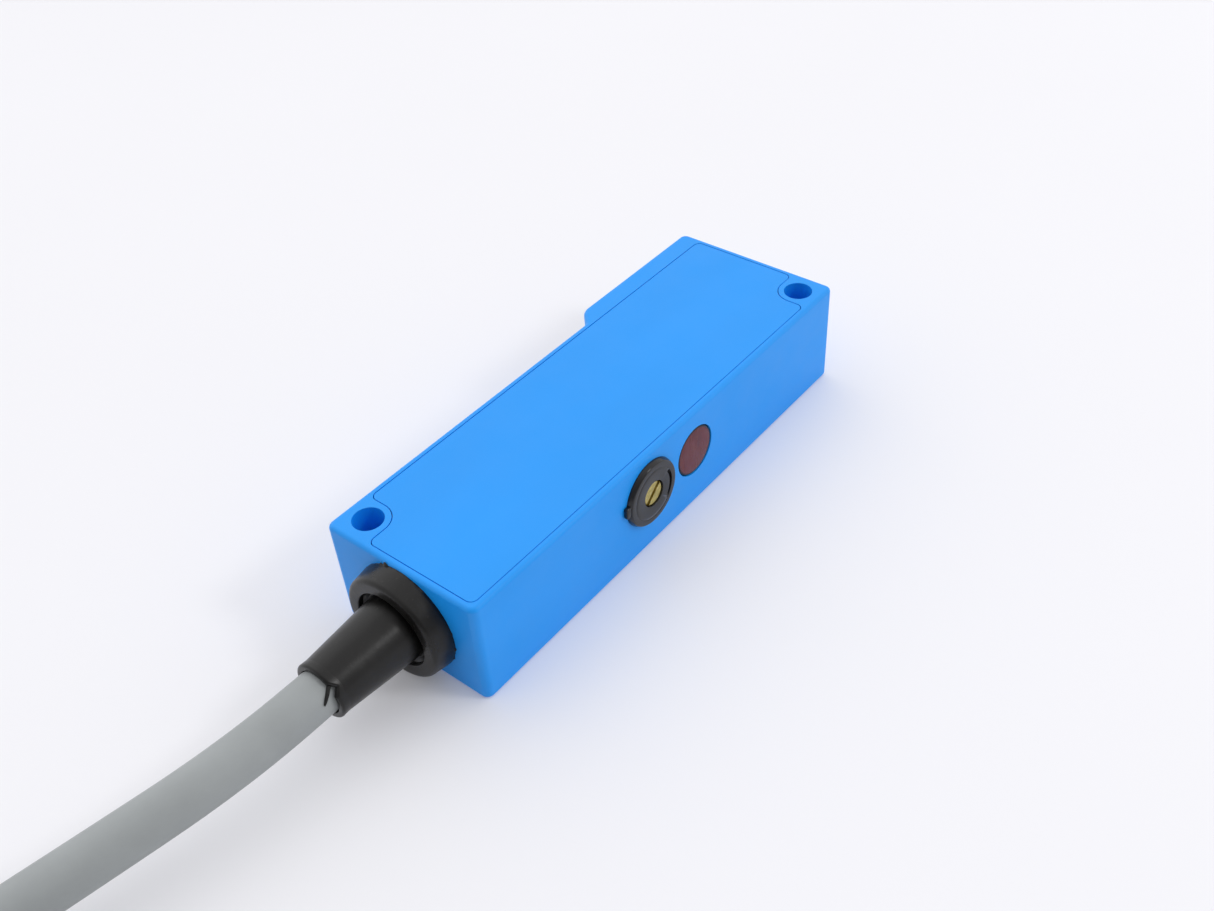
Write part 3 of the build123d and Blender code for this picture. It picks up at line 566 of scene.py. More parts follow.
def even_normals(made):
    """Keep flat faces flat beside small roundings."""
    modifier = made.modifiers.new("even normals", "WEIGHTED_NORMAL")
    modifier.keep_sharp = True
    return settle(made)


def round_corner(before, corner, after, radius):
    """Points of the arc that rounds one corner of an outline."""
    if radius <= 0:
        return [corner]
    to_before = (before - corner).normalized()
    to_after = (after - corner).normalized()
    half = to_before.angle(to_after) / 2
    middle = corner + (to_before + to_after).normalized() * (radius / math.sin(half))
    start = corner + to_before * (radius / math.tan(half)) - middle
    end = corner + to_after * (radius / math.tan(half)) - middle
    return [middle + start.slerp(end, step / FILLET_STEPS) * radius for step in range(FILLET_STEPS + 1)]


def rounded_outline(corners):
    """A closed outline from corners given as (across, up, radius)."""
    points = [Vector((across, up)) for across, up, _ in corners]
    outline = []
    for index, (_, _, radius) in enumerate(corners):
        following = points[(index + 1) % len(points)]
        outline += round_corner(points[index - 1], points[index], following, radius)
    return outline


def lathe(outline, place, segments=128):
    """Turn a closed outline of (radius, height) points about the local Z axis, and set it in place."""
    shape = bmesh.new()
    rings = []
    for radius, height in outline:
        if radius < 1e-9:
            rings.append([shape.verts.new((0, 0, height))] * segments)
            continue
        angles = [math.tau * step / segments for step in range(segments)]
        rings.append([shape.verts.new((radius * math.cos(a), radius * math.sin(a), height)) for a in angles])
    for ring, following in zip(rings, rings[1:] + rings[:1]):
        for step in range(segments):
            beside = (step + 1) % segments
            corners = dict.fromkeys([ring[step], ring[beside], following[beside], following[step]])
            if len(corners) > 2:
                shape.faces.new(list(corners))
    shape.transform(place)
    return shape


def axes(origin, across, up, out):
    """A place whose local X, Y and Z point across, up and out."""
    turned = Matrix((across, up, out)).transposed().to_4x4()
    return Matrix.Translation(origin) @ turned


def side_place(x, z):
    """Local axes on the adjuster's side of the housing: X along it, Y up, Z outwards."""
    return axes(Vector((x, SIDE_Y, z)), (1, 0, 0), (0, 0, 1), (0, -1, 0))


def end_place():
    """Local axes where the cable leaves the housing: X across it, Y up, Z outwards."""
    return axes(Vector((END_X, GLAND_Y, GLAND_Z)), (0, -1, 0), (0, 0, 1), (-1, 0, 0))


def box_shape(size, place, bevel):
    """A block of some size about a place, with its edges rounded."""
    shape = bmesh.new()
    bmesh.ops.create_cube(shape, size=1)
    shape.transform(Matrix.Diagonal((*size, 1)))
    rounding = {"offset": bevel, "offset_type": "OFFSET", "segments": 3, "profile": 0.5, "affect": "EDGES"}
    bmesh.ops.bevel(shape, geom=shape.edges[:], **rounding)
    shape.transform(place)
    return shape


def add_shape(shape, other):
    """Add one bmesh to another."""
    spare = bpy.data.meshes.new("spare")
    other.to_mesh(spare)
    other.free()
    shape.from_mesh(spare)
    bpy.data.meshes.remove(spare)


def fit(made, material, slot, body, *replaced):
    """Give a finished piece its material, hide the CAD nodes it stands for, and set it on the body it rides
    on. The slot is not used.
    """
    made.data.materials.clear()
    made.data.materials.append(material)
    if replaced:
        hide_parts(*replaced)
    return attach(made, body)


def repaint(name, material):
    """Give a CAD node that stays its procedural material."""
    mesh = frame["nodes"][name].data
    mesh.materials.clear()
    mesh.materials.append(material)


# ---- Stage -------------------------------------------------------------------

# The point on the floor that the camera looks at
CAMERA_TARGET = (0.003605, 0.003195, 0)
FILM_WIDTH = 36
NEAR_CLIP = 5 * MM
# How far the floor reaches each way, and how far below the sensor it lies
FLOOR_REACH = 3
FLOOR_DROP = 0.02 * MM
SKY_COLOUR = (0.985, 0.985, 1.0, 1)
# Points towards the dark side of the room, which is darkest where a direction agrees with it this well
DARK_SIDE = (-0.74, -0.67, 0.0)
DARKEST = 0.85
# The room itself, seen past the table's edge, is plain and pale
BACKDROP_STRENGTH = 0.88
# The large soft light stands behind the sensor, and the small window in front of it
KEY_PLACE = (0.20, 1.40, 1.42)
KEY_SIZE = 1.8
WINDOW_PLACE = (0.43, -0.82, 0.77)
WINDOW_SIZE = 0.25


class SENSOR_OT_set_stage(bpy.types.Operator):
    """Set up the camera, the floor and the light"""

    bl_idname = "sensor.set_stage"
    bl_label = "Stage"

    def execute(self, context):
        settings = context.scene.sensor_stage
        context.scene.camera = self.add_camera(settings)
        self.add_floor(settings)
        self.add_light(context, settings)
        return {"FINISHED"}

    def add_camera(self, settings):
        """The camera looks at its target from a distance, turned by its three angles."""
        turn = (
            Matrix.Rotation(settings.azimuth, 4, "Z")
            @ Matrix.Rotation(math.pi / 2 - settings.elevation, 4, "X")
            @ Matrix.Rotation(settings.roll, 4, "Z")
        )
        lens = bpy.data.cameras.new("camera")
        lens.lens = settings.focal_length
        lens.sensor_width = FILM_WIDTH
        lens.clip_start = NEAR_CLIP
        camera = add_object("camera", lens)
        backwards = Matrix.Translation((0, 0, settings.distance))
        camera.matrix_world = Matrix.Translation(CAMERA_TARGET) @ turn @ backwards
        return camera

    def add_floor(self, settings):
        """A wide pale table top, a hair below the sensor so that no two faces lie in one plane."""
        shape = bmesh.new()
        below = Matrix.Translation((0, 0, -FLOOR_DROP))
        bmesh.ops.create_grid(shape, x_segments=8, y_segments=8, size=FLOOR_REACH, matrix=below)
        floor = mesh_object("floor", shape)
        material, tree, shader = start_material(
            "table_top",
            Roughness=0.6,
            Specular_IOR_Level=0.2,
            Emission_Color=(*settings.floor, 1),
            Emission_Strength=settings.floor_glow,
        )
        mottle = noise(tree, object_point(tree), 9, 3)
        tone = ramp(tree, mottle, (0.3, toned(settings.floor, 0.985)), (0.7, settings.floor))
        tree.links.new(tone, shader.inputs["Base Color"])
        floor.data.materials.append(material)

    def add_light(self, context, settings):
        """Soft light all round, dimmer from the cable's side, a large light behind and a window in front."""
        world = bpy.data.worlds.new("studio")
        world.use_nodes = True
        tree = world.node_tree
        background = tree.nodes["Background"]
        background.inputs["Color"].default_value = SKY_COLOUR
        outwards = node(tree, "ShaderNodeTexCoord").outputs["Generated"]
        turned = node(tree, "ShaderNodeVectorMath", {0: outwards, 1: DARK_SIDE}, operation="DOT_PRODUCT")
        dim = settings.sky_strength * settings.dark_side_share
        lit = ranged(tree, turned.outputs["Value"], settings.sky_strength, dim, 0.0, DARKEST)
        seen = node(tree, "ShaderNodeLightPath").outputs["Is Camera Ray"]
        strength = node(tree, "ShaderNodeMix", {0: seen, 2: lit, 3: BACKDROP_STRENGTH})
        tree.links.new(strength.outputs[0], background.inputs["Strength"])
        context.scene.world = world
        self.add_lamp("key", KEY_PLACE, KEY_SIZE, settings.key_power)
        self.add_lamp("window", WINDOW_PLACE, WINDOW_SIZE, settings.window_power)
        context.scene.view_settings.view_transform = "Standard"

    def add_lamp(self, name, place, size, power):
        """A round area light turned towards the sensor."""
        lamp = bpy.data.lights.new(name, "AREA")
        lamp.shape = "DISK"
        lamp.size = size
        lamp.energy = power
        made = add_object(name, lamp)
        made.location = place
        made.rotation_euler = (-made.location).to_track_quat("-Z", "Y").to_euler()


# ---- Casing ------------------------------------------------------------------


class SENSOR_OT_finish_casing(bpy.types.Operator):
    """Finish the housing, the cover and the sensing window"""

    bl_idname = "sensor.finish_casing"
    bl_label = "Casing"

    def execute(self, context):
        settings = context.scene.sensor_casing
        blue = moulded_casing("casing_blue", settings.blue, settings.grain_depth)
        repaint("housing", blue)
        repaint("cover", blue)
        repaint("sensing_window", window_filter("window_filter", settings.filter_red))
        return {"FINISHED"}


# ---- Cable boot --------------------------------------------------------------

# The tear in the boot's lip: where it is, how wide and deep, and over what length it opens
LIP_SPLIT_ANGLE = math.radians(40)
LIP_SPLIT_WIDTH = math.radians(15)
LIP_SPLIT_DEPTH = 0.6 * MM
LIP_SPLIT_START = 1.2 * MM
LIP_SPLIT_EASE = 0.8 * MM
# A point this far outside the neck's tip still belongs to the lip
LIP_MARGIN = 0.3 * MM
# The sliver that hangs from the tear: its root below the lip, its size, and how it turns round the cable
FLAP_SECTIONS = 7
FLAP_ROOT = 0.6 * MM
FLAP_LENGTH = 1.8 * MM
FLAP_WIDTH = 0.46 * MM
FLAP_END_WIDTH = 0.18 * MM
FLAP_THICK = 0.34 * MM
FLAP_THINNING = 0.7
FLAP_ROOT_ANGLE = LIP_SPLIT_ANGLE + 0.30
FLAP_TURN = 0.62
# Moulding flash on the flange's rim: angle in degrees, and how far it stands out in millimetres
FLASH = ((106, 0.55), (113, 0.22), (60, 0.08), (12, 0.10), (-8, 0.18), (-24, 0.16), (-60, 0.12))
# Each burr fades out over so many degrees, and the rest of the rim is uneven by so many millimetres
FLASH_SPREAD = 2.6
FLASH_UNEVEN = 0.05


class SENSOR_OT_build_boot(bpy.types.Operator):
    """Build the rubber boot that the cable leaves through"""

    bl_idname = "sensor.build_boot"
    bl_label = "Cable boot"

    def execute(self, context):
        settings = context.scene.sensor_fittings
        shape = lathe(self.outline(settings), Matrix(), 192)
        self.split_lip(shape, settings.tip_radius)
        self.raise_flash(shape)
        add_shape(shape, self.lip_flap())
        shape.transform(end_place())
        boot = even_normals(mesh_object("boot", shape))
        fit(boot, boot_rubber("boot_rubber", settings.rubber), "boot_rubber", SENSOR, "cable_boot")
        return {"FINISHED"}

    def outline(self, settings):
        """Half the boot's section, from corners given as (radius, distance from the housing, rounding)."""
        barrel = 4.0 * MM
        bead_radius = 4.35 * MM
        bead = 1.0 * MM
        bore = CABLE_R + 0.02 * MM
        front = 2.6 * MM
        recess_floor = front - 0.98 * MM
        dish = settings.dish_radius
        neck = settings.neck_radius
        tip = settings.tip_radius
        corners = [
            (FLANGE_R - 0.02 * MM, 0, 0.04 * MM),
            (FLANGE_R, 0.3 * MM, 0.1 * MM),
            (FLANGE_R - 0.30 * MM, front, 0.55 * MM),
            (dish + 0.10 * MM, front, 0.16 * MM),
            (dish, front - 0.60 * MM, 0.10 * MM),
            (neck + 0.25 * MM, recess_floor, 0.10 * MM),
            (neck, recess_floor, 0.06 * MM),
            (neck - 0.03 * MM, front + 0.1 * MM, 0.3 * MM),
            (tip, BOOT_REACH - 1.0 * MM, 0.6 * MM),
            (tip + 0.07 * MM, BOOT_REACH - 0.02 * MM, 0.28 * MM),
            (bore + 0.10 * MM, BOOT_REACH, 0.10 * MM),
            (bore, BOOT_REACH - 0.4 * MM, 0.1 * MM),
            (bore, -HOUSING_WALL - bead, 0),
            (bead_radius - bead / 2, -HOUSING_WALL - bead, 0),
            (bead_radius, -HOUSING_WALL, 0),
            (barrel, -HOUSING_WALL, 0),
            (barrel, 0, 0),
        ]
        return rounded_outline(corners)

    def split_lip(self, shape, tip):
        """Part the lip where its rubber has torn."""
        for vertex in shape.verts:
            near_tip = vertex.co.z - (BOOT_REACH - LIP_SPLIT_START)
            if near_tip <= 0 or vertex.co.xy.length > tip + LIP_MARGIN:
                continue
            aside = abs(math.atan2(vertex.co.y, vertex.co.x) - LIP_SPLIT_ANGLE) / LIP_SPLIT_WIDTH
            if aside < 1:
                vertex.co.z -= LIP_SPLIT_DEPTH * (1 - aside) * min(1, near_tip / LIP_SPLIT_EASE)

    def raise_flash(self, shape):
        """Thin, uneven moulding flash along the flange's back edge."""
        uneven = random.Random(11)
        for vertex in shape.verts:
            radius = vertex.co.xy.length
            if radius < FLANGE_R - 0.1 * MM or vertex.co.z > 0.2 * MM:
                continue
            turn = math.degrees(math.atan2(vertex.co.y, vertex.co.x))
            out = uneven.uniform(0, FLASH_UNEVEN)
            for angle, height in FLASH:
                out += height * max(0, 1 - abs(turn - angle) / FLASH_SPREAD)
            vertex.co.xy *= 1 + out * MM / radius

    def lip_flap(self):
        """A sliver of rubber that hangs from the torn lip along the cable."""
        shape = bmesh.new()
        rings = []
        for step in range(FLAP_SECTIONS):
            along = step / (FLAP_SECTIONS - 1)
            width = FLAP_WIDTH * (1 - along) ** 0.4 + FLAP_END_WIDTH
            thick = FLAP_THICK * (1 - FLAP_THINNING * along)
            height = BOOT_REACH - FLAP_ROOT + along * FLAP_LENGTH
            bend = FLAP_ROOT_ANGLE - FLAP_TURN * along
            ring = []
            for side, level in ((-1, 0), (1, 0), (0.7, 1), (-0.7, 1)):
                radius = CABLE_R - 0.03 * MM + level * thick
                angle = bend + side * width / 2 / radius
                ring.append(shape.verts.new((radius * math.cos(angle), radius * math.sin(angle), height)))
            rings.append(ring)
        for ring, following in zip(rings, rings[1:]):
            for corner in range(4):
                beside = (corner + 1) % 4
                shape.faces.new((ring[corner], ring[beside], following[beside], following[corner]))
        shape.faces.new(rings[0])
        shape.faces.new(rings[-1])
        return shape


# ---- Adjuster and indicator --------------------------------------------------

BEZEL_FACE = 0.65 * MM
TAB_SIZE = (1.0 * MM, 1.4 * MM, BEZEL_FACE * 0.8)
TAB_EDGE = 0.14 * MM
# The groove in the bezel's face: its outer radius and its size, then the middle of its arc, half the arc,
# and the share of that half which has the full depth
GROOVE_R = 3.25 * MM
GROOVE_WIDTH = 0.42 * MM
GROOVE_DEPTH = 0.34 * MM
GROOVE_ANGLE = math.radians(-5)
GROOVE_HALF_ARC = math.radians(42)
GROOVE_FULL = 0.375


class SENSOR_OT_build_adjuster(bpy.types.Operator):
    """Build the bezel of the sensitivity adjuster and finish its brass screw"""

    bl_idname = "sensor.build_adjuster"
    bl_label = "Adjuster"

    def execute(self, context):
        settings = context.scene.sensor_fittings
        place = side_place(ADJUSTER_AXIS.x, ADJUSTER_AXIS.z)
        shape = lathe(self.outline(settings.bezel_radius), place, 160)
        self.fade_groove(shape, place)
        tab_middle = (0.05 * MM - settings.bezel_radius, 0.25 * MM, BEZEL_FACE * 0.4)
        add_shape(shape, box_shape(TAB_SIZE, place @ Matrix.Translation(tab_middle), TAB_EDGE))
        bezel = even_normals(mesh_object("bezel", shape))
        black = glossy_plastic("bezel_black", settings.bezel_black)
        fit(bezel, black, "bezel_black", SENSOR, "adjuster_bezel")
        repaint("adjuster_shaft", turned_brass("brass", ADJUSTER_AXIS))
        repaint("adjuster_seal", plain_finish("seal_rubber", (0.012, 0.012, 0.013), (0.03, 0.03, 0.03), 0.5))
        return {"FINISHED"}

    def fade_groove(self, shape, place):
        """Raise the groove's floor to the bezel's face, but for an arc on one side of the screw."""
        to_local = place.inverted()
        middle = GROOVE_R - GROOVE_WIDTH / 2
        half_floor = GROOVE_WIDTH / 2 - 0.01 * MM
        for vertex in shape.verts:
            local = to_local @ vertex.co
            if abs(local.xy.length - middle) > half_floor or local.z < 0:
                continue
            aside = abs(math.atan2(local.y, local.x) - GROOVE_ANGLE) / GROOVE_HALF_ARC
            fade = min(1, max(0, (aside - GROOVE_FULL) / (1 - GROOVE_FULL)))
            local.z += fade * fade * (3 - 2 * fade) * GROOVE_DEPTH
            vertex.co = place @ local

    def outline(self, radius):
        """Half the bezel's section, from corners given as (radius, distance from the housing, rounding)."""
        bore = 1.63 * MM
        barrel = 3.3 * MM
        back = 0.2 * MM - HOUSING_WALL
        seal_radius = 2.45 * MM
        seal_front = -0.30 * MM
        seal_back = -1.20 * MM
        groove_floor = BEZEL_FACE - GROOVE_DEPTH
        corners = [
            (radius, 0, 0),
            (radius - 0.04 * MM, 0.20 * MM, 0.10 * MM),
            (radius - 0.24 * MM, BEZEL_FACE, 0.22 * MM),
            (GROOVE_R, BEZEL_FACE, 0.04 * MM),
            (GROOVE_R - 0.06 * MM, groove_floor, 0),
            (GROOVE_R - GROOVE_WIDTH + 0.04 * MM, groove_floor, 0),
            (GROOVE_R - GROOVE_WIDTH, BEZEL_FACE, 0),
            (bore, BEZEL_FACE - 0.02 * MM, 0.05 * MM),
            (bore, seal_front, 0),
            (seal_radius, seal_front, 0),
            (seal_radius, seal_back, 0),
            (bore, seal_back, 0),
            (bore, back, 0),
            (barrel, back, 0),
            (barrel, 0, 0),
        ]
        return rounded_outline(corners)


class SENSOR_OT_build_indicator(bpy.types.Operator):
    """Build the red lens of the indicator"""

    bl_idname = "sensor.build_indicator"
    bl_label = "Indicator"

    def execute(self, context):
        settings = context.scene.sensor_fittings
        radius = settings.lamp_radius
        flange = (LAMP_HIGH.x - LAMP_LOW.x) / 2
        back = SIDE_Y - LAMP_HIGH.y
        corners = [
            (0, -0.04 * MM, 0),
            (radius * 0.6, -0.035 * MM, 0),
            (radius, -0.06 * MM, 0.16 * MM),
            (radius, -HOUSING_WALL, 0),
            (flange, -HOUSING_WALL, 0.05 * MM),
            (flange, back, 0.1 * MM),
            (0, back, 0),
        ]
        outline = rounded_outline(corners)
        lens = even_normals(mesh_object("indicator", lathe(outline, side_place(LAMP_X, LAMP_Z), 128)))
        red = indicator_lens("indicator_red", settings.lamp_red, (LAMP_X, 0, LAMP_Z), radius)
        fit(lens, red, "indicator_red", SENSOR, "indicator_window")
        return {"FINISHED"}


# ---- Cable -------------------------------------------------------------------

LOOP_STEP = math.radians(30)
LOOP_ANGLES = [LOOP_STEP * (step - 2.5) for step in range(6)]
# A spline cuts inside its control points, so they stand this much further out than the turn
LOOP_GAIN = 1 / math.cos(LOOP_STEP / 2)
# How far an outer turn has climbed, and the last one has moved in, at each point of the near loop
CLIMB = (0, 0, 0.10, 0.45, 0.85, 1)
SHIFT_IN = (0.20, 0.60, 0.90, 1, 1, 1)
# Where an inner turn drops to the layer below, along its second leg, and how far any turn strays there
LEG_PLACES = (-0.020, 0.000, 0.020)
LEG_DROPS = (0.05, 0.38, 0.78)
LEG_UNEVEN = 0.12 * MM


def hank_turns():
    """Control points of the hank: four turns climb in the outer column, and four descend in the inner."""
    uneven = random.Random(5)
    points = []
    last_turn = HANK_COLUMNS * HANK_LAYERS - 1
    for turn in range(last_turn + 1):
        outer = turn < HANK_LAYERS
        crosses_over = turn == HANK_LAYERS - 1
        level = turn if outer else last_turn - turn
        radius = HANK_OUTER_R if outer else HANK_INNER_R
        height = FIRST_TURN_Z + level * CABLE_D
        reach = radius * LOOP_GAIN
        for angle in reversed(LOOP_ANGLES):
            x = HANK_X - HANK_HALF_STRAIGHT - reach * math.cos(angle)
            points.append(Vector((x, HANK_Y + reach * math.sin(angle), height)))
        if turn == last_turn:
            break
        for along, drop in zip(LEG_PLACES, LEG_DROPS):
            aside = uneven.uniform(-LEG_UNEVEN, LEG_UNEVEN)
            lower = 0 if outer else drop * CABLE_D
            points.append(Vector((HANK_X + along, HANK_Y - radius + aside, height - lower)))
        for angle, climb, shift in zip(LOOP_ANGLES, CLIMB, SHIFT_IN):
            inwards = 0
            rise = -1
            if crosses_over:
                inwards = shift * CABLE_D
                rise = 0
            elif outer:
                rise = climb
            reach = (radius - inwards) * LOOP_GAIN
            x = HANK_X + HANK_HALF_STRAIGHT + reach * math.cos(angle)
            points.append(Vector((x, HANK_Y + reach * math.sin(angle), height + rise * CABLE_D)))
    return points


def smooth_curve(name, points, radius, resolution):
    """A round cable along one smooth open spline with these control points."""
    curve = bpy.data.curves.new(name, "CURVE")
    curve.dimensions = "3D"
    curve.bevel_depth = radius
    curve.bevel_resolution = 7
    curve.use_fill_caps = True
    spline = curve.splines.new("NURBS")
    spline.points.add(len(points) - 1)
    for knot, point in zip(spline.points, points):
        knot.co = (*point, 1)
    spline.order_u = 3
    spline.use_endpoint_u = True
    spline.resolution_u = resolution
    return add_object(name, curve)


def strand_tree():
    """Straight middle strand with the others laid round it."""
    tree, given = start_geometry(
        "laid strands",
        **{
            "Strands": ("Int", 6),
            "Strand radius": ("Float", STRAND_BUNDLE_R / BUNDLE_RATIO),
            "Length": ("Float", BARE_LENGTH),
            "Turns": ("Float", STRAND_TURNS),
            "Material": ("Material", None),
        },
    )
    circle = {"Resolution": 10, "Radius": given["Strand radius"]}
    profile = node(tree, "GeometryNodeCurvePrimitiveCircle", circle).outputs[0]
    lay = product(tree, given["Strand radius"], LAY_RATIO)
    helix = node(
        tree,
        "GeometryNodeCurveSpiral",
        {
            "Resolution": 28,
            "Rotations": given["Turns"],
            "Start Radius": lay,
            "End Radius": lay,
            "Height": given["Length"],
        },
    )
    strand = swept(tree, helix.outputs[0], profile)
    share = node(tree, "ShaderNodeMath", {0: math.tau, 1: given["Strands"]}, operation="DIVIDE").outputs[0]
    index = node(tree, "GeometryNodeInputIndex").outputs[0]
    turn = product(tree, index, share)
    places = node(tree, "GeometryNodePoints", {"Count": given["Strands"]})
    turned = node(tree, "ShaderNodeCombineXYZ", {"Z": turn}).outputs[0]
    outer = copied(tree, places.outputs[0], strand, turned)
    top = node(tree, "ShaderNodeCombineXYZ", {"Z": given["Length"]}).outputs[0]
    line = node(tree, "GeometryNodeCurvePrimitiveLine", {"End": top})
    middle = swept(tree, line.outputs[0], profile)
    end_geometry(tree, given["Material"], outer, middle)
    return tree


def tie_tree():
    """A nylon strap that follows a path, toothed on the side that faces inwards."""
    tree, given = start_geometry(
        "toothed strap",
        **{
            "Strap width": ("Float", TIE_WIDTH),
            "Strap thickness": ("Float", TIE_THICK * STRAP_SHARE),
            "Rib pitch": ("Float", 0.9 * MM),
            "Rib height": ("Float", RIB_HEIGHT),
            "Material": ("Material", None),
        },
    )
    path = node(tree, "GeometryNodeSetCurveNormal", {"Curve": given["Geometry"]}, mode="Z_UP").outputs[0]
    section = node(
        tree,
        "GeometryNodeCurvePrimitiveQuadrilateral",
        {"Width": given["Strap thickness"], "Height": given["Strap width"]},
    ).outputs[0]
    rounding = {"Curve": section, "Radius": STRAP_EDGE_R, "Limit Radius": True}
    soft = node(tree, "GeometryNodeFilletCurve", rounding, mode="POLY")
    soft.inputs["Count"].default_value = 3
    strap = swept(tree, path, soft.outputs[0])
    spacing = {"Curve": path, "Length": given["Rib pitch"]}
    spots = node(tree, "GeometryNodeResampleCurve", spacing, mode="LENGTH")
    inwards = node(tree, "GeometryNodeInputNormal").outputs[0]
    forward = node(tree, "GeometryNodeInputTangent").outputs[0]
    facing = node(
        tree,
        "FunctionNodeAxesToRotation",
        {"Primary Axis": forward, "Secondary Axis": inwards},
        primary_axis="Z",
        secondary_axis="X",
    ).outputs[0]
    width = product(tree, given["Strap width"], RIB_WIDTH_SHARE)
    height = node(tree, "ShaderNodeMath", {0: given["Rib height"], 1: given["Strap thickness"]}).outputs[0]
    depth = product(tree, given["Rib pitch"], RIB_PITCH_SHARE)
    size = node(tree, "ShaderNodeCombineXYZ", {"X": height, "Y": width, "Z": depth}).outputs[0]
    tooth = node(tree, "GeometryNodeMeshCube", {"Size": size}).outputs[0]
    teeth = copied(tree, spots.outputs[0], tooth, facing)
    end_geometry(tree, given["Material"], strap, teeth)
    return tree


class SENSOR_OT_lay_cable(bpy.types.Operator):
    """Lay the cable from the boot through its hank to its free end, with its ties and bared cores"""

    bl_idname = "sensor.lay_cable"
    bl_label = "Cable"

    def execute(self, context):
        settings = context.scene.sensor_cable
        ties = self.build_ties(settings)
        strands = self.bare_strands(settings)
        self.finish_cores()
        cable = smooth_curve("cable", CABLE_ROUTE + hank_turns() + TAIL_ROUTE, CABLE_R, 10)
        grey = cable_sheath("sheath_grey", settings.sheath)
        fit(cable, grey, "sheath_grey", SENSOR, "cable_run", "cable_hank", "cable_tail")
        return {"FINISHED"}

    def build_ties(self, settings):
        """One toothed tie round each leg of the hank, with its head on the inner side."""
        nylon = plain_finish("tie_black", toned(settings.tie, 0.8), toned(settings.tie, 1.6), 0.42, 500)
        tree = tie_tree()
        joined = bmesh.new()
        leg_y = (HANK_OUTER_R + HANK_INNER_R) / 2
        inner_side = HANK_COLUMNS * CABLE_D / 2
        middle_z = (HANK_LOW.z + HANK_HIGH.z) / 2
        for side, x in ((-1, TIES_HIGH.x - TIE_WIDTH / 2), (1, TIES_LOW.x + TIE_WIDTH / 2)):
            middle = Vector((x, HANK_Y + side * leg_y, middle_z))
            place = axes(middle, (0, -side, 0), (0, 0, 1), (-side, 0, 0))
            path = self.strap_path(inner_side, (HANK_HIGH.z - HANK_LOW.z) / 2)
            strap = grow(path, tree, **{"Rib pitch": settings.rib_pitch, "Material": nylon})
            part = bmesh.new()
            part.from_mesh(strap.data)
            bpy.data.objects.remove(strap)
            head_x = inner_side + TIE_THICK + TIE_HEAD[0] / 2 - TIE_HEAD_SUNK
            add_shape(part, box_shape(TIE_HEAD, Matrix.Translation((head_x, 0, 0)), TIE_HEAD_EDGE))
            part.transform(place)
            add_shape(joined, part)
        ties = mesh_object("cable_ties", joined)
        return fit(ties, nylon, "tie_black", SENSOR, "hank_ties")

    def strap_path(self, half_width, half_height):
        """The tie's closed loop in its local XY plane, and its cut tail beyond the head."""
        bulge = TIE_THICK / 2
        turn = CABLE_R + bulge
        corners = [
            (half_width + bulge, -half_height - bulge, turn),
            (half_width + bulge, half_height + bulge, turn),
            (-half_width - bulge, half_height + bulge, turn),
            (-half_width - bulge, -half_height - bulge, turn),
        ]
        tail_x = half_width + TIE_THICK + 1.2 * MM
        tail = [Vector((tail_x, 0)), Vector((tail_x, 3.2 * MM)), Vector((tail_x + 0.1 * MM, 4.3 * MM))]
        path = bpy.data.curves.new("strap", "CURVE")
        path.dimensions = "3D"
        for points, closed in ((rounded_outline(corners), True), (tail, False)):
            spline = path.splines.new("POLY")
            spline.points.add(len(points) - 1)
            for knot, point in zip(spline.points, points):
                knot.co = (*point, 0, 1)
            spline.use_cyclic_u = closed
        return add_object("strap", path)

    def bare_strands(self, settings):
        """Twisted copper at the end of each core."""
        copper = metal("tinned_copper", (0.55, 0.50, 0.44), (0.86, 0.84, 0.80), 0.32)
        tree = strand_tree()
        joined = bmesh.new()
        heading = (TAIL_ROUTE[-1] - TAIL_ROUTE[-2]).normalized()
        aside = Vector((-heading.y, heading.x, 0))
        drop = Vector((0, 0, CORE_R - CABLE_R))
        for spread in CORE_SPREADS:
            before = TAIL_ROUTE[-1] + heading * CORE_BEND_AT + aside * spread + drop
            start = TAIL_ROUTE[-1] + heading * CORE_END_AT + aside * spread * CORE_SPLAY + drop
            along = (start - before).normalized()
            seed = mesh_object("strand", bmesh.new())
            bundle = grow(seed, tree, **{"Strands": settings.strands, "Material": copper})
            across = along.cross(Vector((0, 0, 1))).normalized()
            part = bmesh.new()
            part.from_mesh(bundle.data)
            part.transform(axes(start, across, along.cross(across), along))
            bpy.data.objects.remove(bundle)
            add_shape(joined, part)
        strands = mesh_object("bared_strands", joined)
        return fit(strands, copper, "tinned_copper", SENSOR, "core_tips")

    def finish_cores(self):
        """Coloured insulation on the four cores, at both ends of the cable."""
        for colour, tone in zip(CORE_COLOURS, CORE_TONES):
            insulation = plain_finish(f"core_{colour}", toned(tone, 0.85), toned(tone, 1.15), 0.42, 700)
            repaint(f"far_core_{colour}", insulation)
            repaint(f"inner_core_{colour}", insulation)


# ---- Inside the housing ------------------------------------------------------

